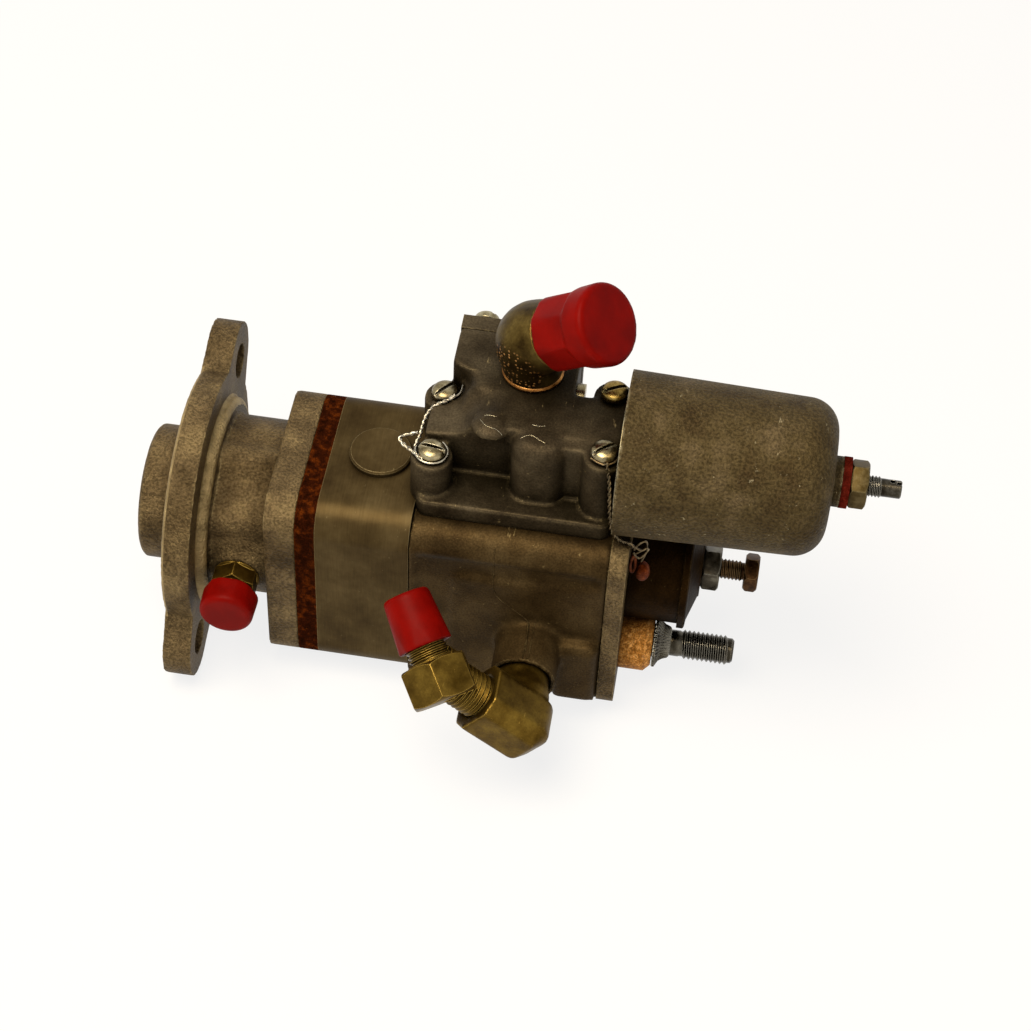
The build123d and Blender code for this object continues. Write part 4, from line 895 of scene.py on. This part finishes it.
elbowSet = {"base": (78.1, 10.9, 46.0), "centre": (78.1, 10.9, 56.5), "out": (0.7263, -0.2921, 0.6222),
            "ringR": 7.0,
            # points of the forging's middle line, each with its radius, in mm
            "line": (((78.1, 10.9, 45.6), 6.5), ((78.0, 10.9, 49.5), 7.1), ((76.9, 11.3, 55.8), 8.4),
                     ((80.4, 10.0, 58.6), 8.3), ((82.9, 9.0, 60.6), 7.7)),
            "collarAt": 4.6, "collarR": 7.7, "end": 6.6, "threadR": 6.9, "threadEnd": 15.8, "voxel": 0.45}


def forgedElbow():
    s = elbowSet
    data = bpy.data.curves.new("elbowLine", "CURVE")
    data.dimensions, data.resolution_u = "3D", 12
    data.bevel_depth, data.bevel_resolution, data.use_fill_caps = 0.001, 10, True
    spline = data.splines.new("NURBS")
    spline.points.add(len(s["line"]) - 1)
    for point, (place, radius) in zip(spline.points, s["line"]):
        point.co, point.radius = (*metres(place), 1), radius
    spline.order_u, spline.use_endpoint_u = 3, True
    forging = bpy.data.objects.new("elbowLine", data)
    bpy.context.scene.collection.objects.link(forging)
    pick(forging)
    bpy.ops.object.convert(target="MESH")
    skin = forging.modifiers.new("skin", "REMESH")
    skin.mode, skin.voxel_size = "VOXEL", s["voxel"] / 1000
    applied(forging, skin)
    even = forging.modifiers.new("even", "SMOOTH")
    even.iterations, even.factor = 6, 0.5
    applied(forging, even)
    outlet = lathe([(2, 6.9), (s["collarAt"] - 0.3, 7.2), (s["collarAt"], s["collarR"] - 0.2),
                    (s["collarAt"] + 0.3, s["collarR"]),
                    (s["end"] - 0.3, s["collarR"]), (s["end"], s["collarR"] - 0.3),
                    (s["end"], s["threadR"]), (s["threadEnd"], s["threadR"])])
    stand(outlet, s["centre"], s["out"])
    stem = lathe([(-6, 4.8), (1, 4.8)])
    stand(stem, s["base"], (0, 0, 1))
    return join([forging, outlet, stem])


def elbowBaseRing():
    s = elbowSet
    ring = lathe([(0, s["ringR"] - 0.25), (0.25, s["ringR"]), (0.8, s["ringR"] + 0.05),
                  (1.2, s["ringR"] - 0.25), (1.35, s["ringR"] - 0.7)], 64)
    return stand(ring, s["base"], (0, 0, 1))


settle(forgedElbow(), "top_elbow_forging", "punchedBrass", standsFor="top_elbow")
settle(elbowBaseRing(), "elbow_base_ring", "copperRing")
print("stage: top elbow is in")

wireSet = {"strandR": 0.24, "twistPitch": 3.0,
           "leftRun": ((61.6, 4.6, 41.6), (60.6, 3.6, 41.0), (58.9, 2.9, 40.4), (57.4, 1.9, 40.0),
                       (56.5, 0.6, 39.6), (56.0, -0.9, 39.3), (55.8, -2.5, 39.1),
                       (55.7, -4.6, 39.1), (55.7, -6.7, 39.1), (55.3, -8.6, 39.2), (55.2, -10.2, 39.2)),
           "leftLoop": ((55.2, -10.2, 39.2), (55.3, -12.2, 39.1), (56.8, -14.0, 39.1), (59.2, -14.6, 39.1),
                        (61.6, -13.7, 39.1), (62.7, -11.4, 39.1),
                        (62.3, -9.2, 39.2), (60.9, -7.9, 39.2)),
           "farLoop": ((60.4, 3.5, 41.0), (62.2, 4.6, 41.4), (62.9, 6.4, 41.4), (62.8, 8.4, 41.2)),
           "pigtail": ((55.0, -6.1, 39.3), (53.3, -7.1, 39.4), (51.9, -7.9, 39.5), (51.3, -8.9, 39.6),
                       (52.2, -10.0, 39.4), (54.2, -11.4, 39.3), (56.3, -12.6, 39.3), (57.6, -13.6, 39.2)),
           "rightRun": ((97.8, -14.3, 46.9), (98.9, -15.4, 43.5), (99.4, -17.2, 39.0), (99.9, -18.6, 34.5),
                        (100.6, -19.0, 30.0), (102.2, -18.9, 27.4),
                        (103.8, -18.6, 26.4), (105.6, -17.9, 25.0), (106.1, -17.0, 22.8)),
           "rightLoop": ((94.3, -13.0, 46.4), (96.4, -14.5, 46.3), (98.8, -14.2, 46.4),
                         (100.2, -12.6, 46.6), (100.4, -10.4, 46.8)),
           "knots": (((105.8, -17.0, 22.8), (106.9, -16.9, 24.6), (108.4, -16.2, 25.4),
                      (108.9, -15.8, 23.0), (107.4, -16.4, 21.4), (105.8, -16.6, 20.2)),
                     ((106.0, -16.8, 23.4), (107.6, -17.2, 22.2), (109.0, -16.4, 23.6),
                      (108.8, -15.6, 20.4), (107.8, -16.0, 17.6)),
                     ((105.9, -16.4, 20.8), (106.8, -16.9, 19.2), (108.3, -16.6, 20.4),
                      (109.2, -16.0, 22.2))),
           "crimp": ((105.9, -16.6, 20.4), (105.4, -16.7, 17.6), (105.6, -16.6, 14.6), (106.3, -16.5, 14.2),
                     (106.7, -16.5, 16.8), (106.3, -16.5, 20.0)),
           "sealAt": (108.3, -16.0, 14.4), "sealR": 2.1, "sealT": 1.5}


def wireLine(name, points):
    data = bpy.data.curves.new(name, "CURVE")
    data.dimensions, data.resolution_u, data.twist_mode = "3D", 10, "MINIMUM"
    data.use_path = True
    spline = data.splines.new("NURBS")
    spline.points.add(len(points) - 1)
    for point, place in zip(spline.points, points):
        point.co = (*metres(place), 1)
    spline.order_u, spline.use_endpoint_u = 3, True
    line = bpy.data.objects.new(name, data)
    bpy.context.scene.collection.objects.link(line)
    return line


def bentWire(points, radius):
    wire = wireLine("bentWire", points)
    wire.data.bevel_depth, wire.data.bevel_resolution, wire.data.use_fill_caps = radius / 1000, 3, True
    pick(wire)
    bpy.ops.object.convert(target="MESH")
    return wire


def twistedPair(points):
    s = wireSet
    line = wireLine("twistLine", points)
    bpy.context.view_layer.update()
    drawn = bpy.data.meshes.new_from_object(line.evaluated_get(bpy.context.evaluated_depsgraph_get()))
    places = drawn.vertices
    length = sum((places[e.vertices[0]].co - places[e.vertices[1]].co).length for e in drawn.edges)
    bpy.data.meshes.remove(drawn)
    turns = max(2, round(length * 1000 / s["twistPitch"]))
    strands = []
    for side in (1, -1):
        pick()
        bpy.ops.mesh.primitive_circle_add(vertices=8, radius=s["strandR"] * 0.001, fill_type="NOTHING",
                                          location=(side * s["strandR"] * 0.00105, 0, 0))
        bpy.ops.object.transform_apply(location=True, rotation=True, scale=True)
        strands.append(bpy.context.object)
    pair = join(strands)
    winding = pair.modifiers.new("winding", "SCREW")
    winding.axis, winding.angle, winding.screw_offset = "Z", 2 * math.pi, length / turns
    winding.iterations, winding.steps, winding.render_steps = turns, 14, 14
    applied(pair, winding)
    editAll(pair)
    bpy.ops.mesh.fill_holes(sides=8)
    pick()
    along = pair.modifiers.new("along", "CURVE")
    along.object, along.deform_axis = line, "POS_Z"
    applied(pair, along)
    bpy.data.objects.remove(line)
    return pair


leftWires = [twistedPair(wireSet["leftRun"]), bentWire(wireSet["leftLoop"], wireSet["strandR"]),
             bentWire(wireSet["farLoop"], wireSet["strandR"]),
             twistedPair(wireSet["pigtail"])]
settle(join(leftWires), "lock_wire_left", "lockWire")
rightWires = [twistedPair(wireSet["rightRun"]), bentWire(wireSet["rightLoop"], wireSet["strandR"])]
rightWires += [bentWire(knot, wireSet["strandR"]) for knot in wireSet["knots"]]
settle(join(rightWires), "lock_wire_right", "oldWire")
settle(bentWire(wireSet["crimp"], 0.42), "wire_crimp", "copperSeal")


def leadSeal():
    s = wireSet
    r, t = s["sealR"], s["sealT"]
    disc = lathe([(-t, r * 0.55), (-t * 0.8, r * 0.8), (-t * 0.35, r), (t * 0.35, r), (t * 0.8, r * 0.82),
                  (t, r * 0.5)], 32)
    editAll(disc)
    bpy.ops.transform.resize(value=(0.82, 1.25, 1), center_override=(0, 0, 0))
    pick()
    return stand(soften(disc, 0.15), s["sealAt"], (0.15, -1, 0.05))


settle(leadSeal(), "wire_seal", "copperSeal")
print("stage: lock wires and seal are in")

# parting lines and flash of the castings, drawn across a face and laid onto it
flashSet = {"radius": 0.13,
            "lines": (("control_body", ((75.5, -40, 23.0), (75.4, -40, 17.0), (75.6, -40, 8.9),
                                        (80.0, -40, 4.9), (84.9, -40, 0.4)), (0, 1, 0)),
                      ("control_body", ((84.4, -24.8, 14), (84.4, -28, 14), (84.3, -34.6, 14)), (0, 0, -1)),
                      ("control_body", ((85.6, -24.8, 14), (85.7, -29, 14), (85.5, -34.6, 14)), (0, 0, -1)))}


scratchSet = {"radius": 0.07, "target": "governor_block", "above": 60, "direction": (0, 0, -1),
              "lines": (((68.9, -6.2), (69.8, -7.5), (71.2, -8.2), (72.8, -8.1), (74.2, -8.9)),
                        ((69.6, -5.0), (70.8, -4.5), (72.2, -4.9)),
                        ((78.4, -9.3), (79.6, -8.5), (81.0, -8.4), (82.2, -9.3), (83.9, -10.1)),
                        ((80.4, -5.2), (81.6, -5.7), (83.2, -5.1)))}


def flashLine(target, points, direction, radius=flashSet["radius"]):
    line = wireLine("flashLine", points)
    pick(line)
    bpy.ops.object.convert(target="MESH")
    laid = line.modifiers.new("laid", "SHRINKWRAP")
    laid.target, laid.wrap_method, laid.use_negative_direction = castings[target], "PROJECT", True
    laid.use_project_x, laid.use_project_y, laid.use_project_z = [abs(d) > 0.5 for d in direction]
    applied(line, laid)
    bpy.ops.object.convert(target="CURVE")
    line.data.bevel_depth, line.data.bevel_resolution, line.data.use_fill_caps = radius / 1000, 2, True
    bpy.ops.object.convert(target="MESH")
    return line


def scratchLine(points):  # a thin bright mark laid on the casting from above
    s = scratchSet
    return flashLine(s["target"], [(*point, s["above"]) for point in points], s["direction"], s["radius"])


flash = [flashLine(*line) for line in flashSet["lines"]]
settle(join(flash), "casting_flash", "bodyCasting")
scratches = [scratchLine(points) for points in scratchSet["lines"]]
settle(join(scratches), "casting_scratches", "zincSteel")
print("stage: parting lines are in")
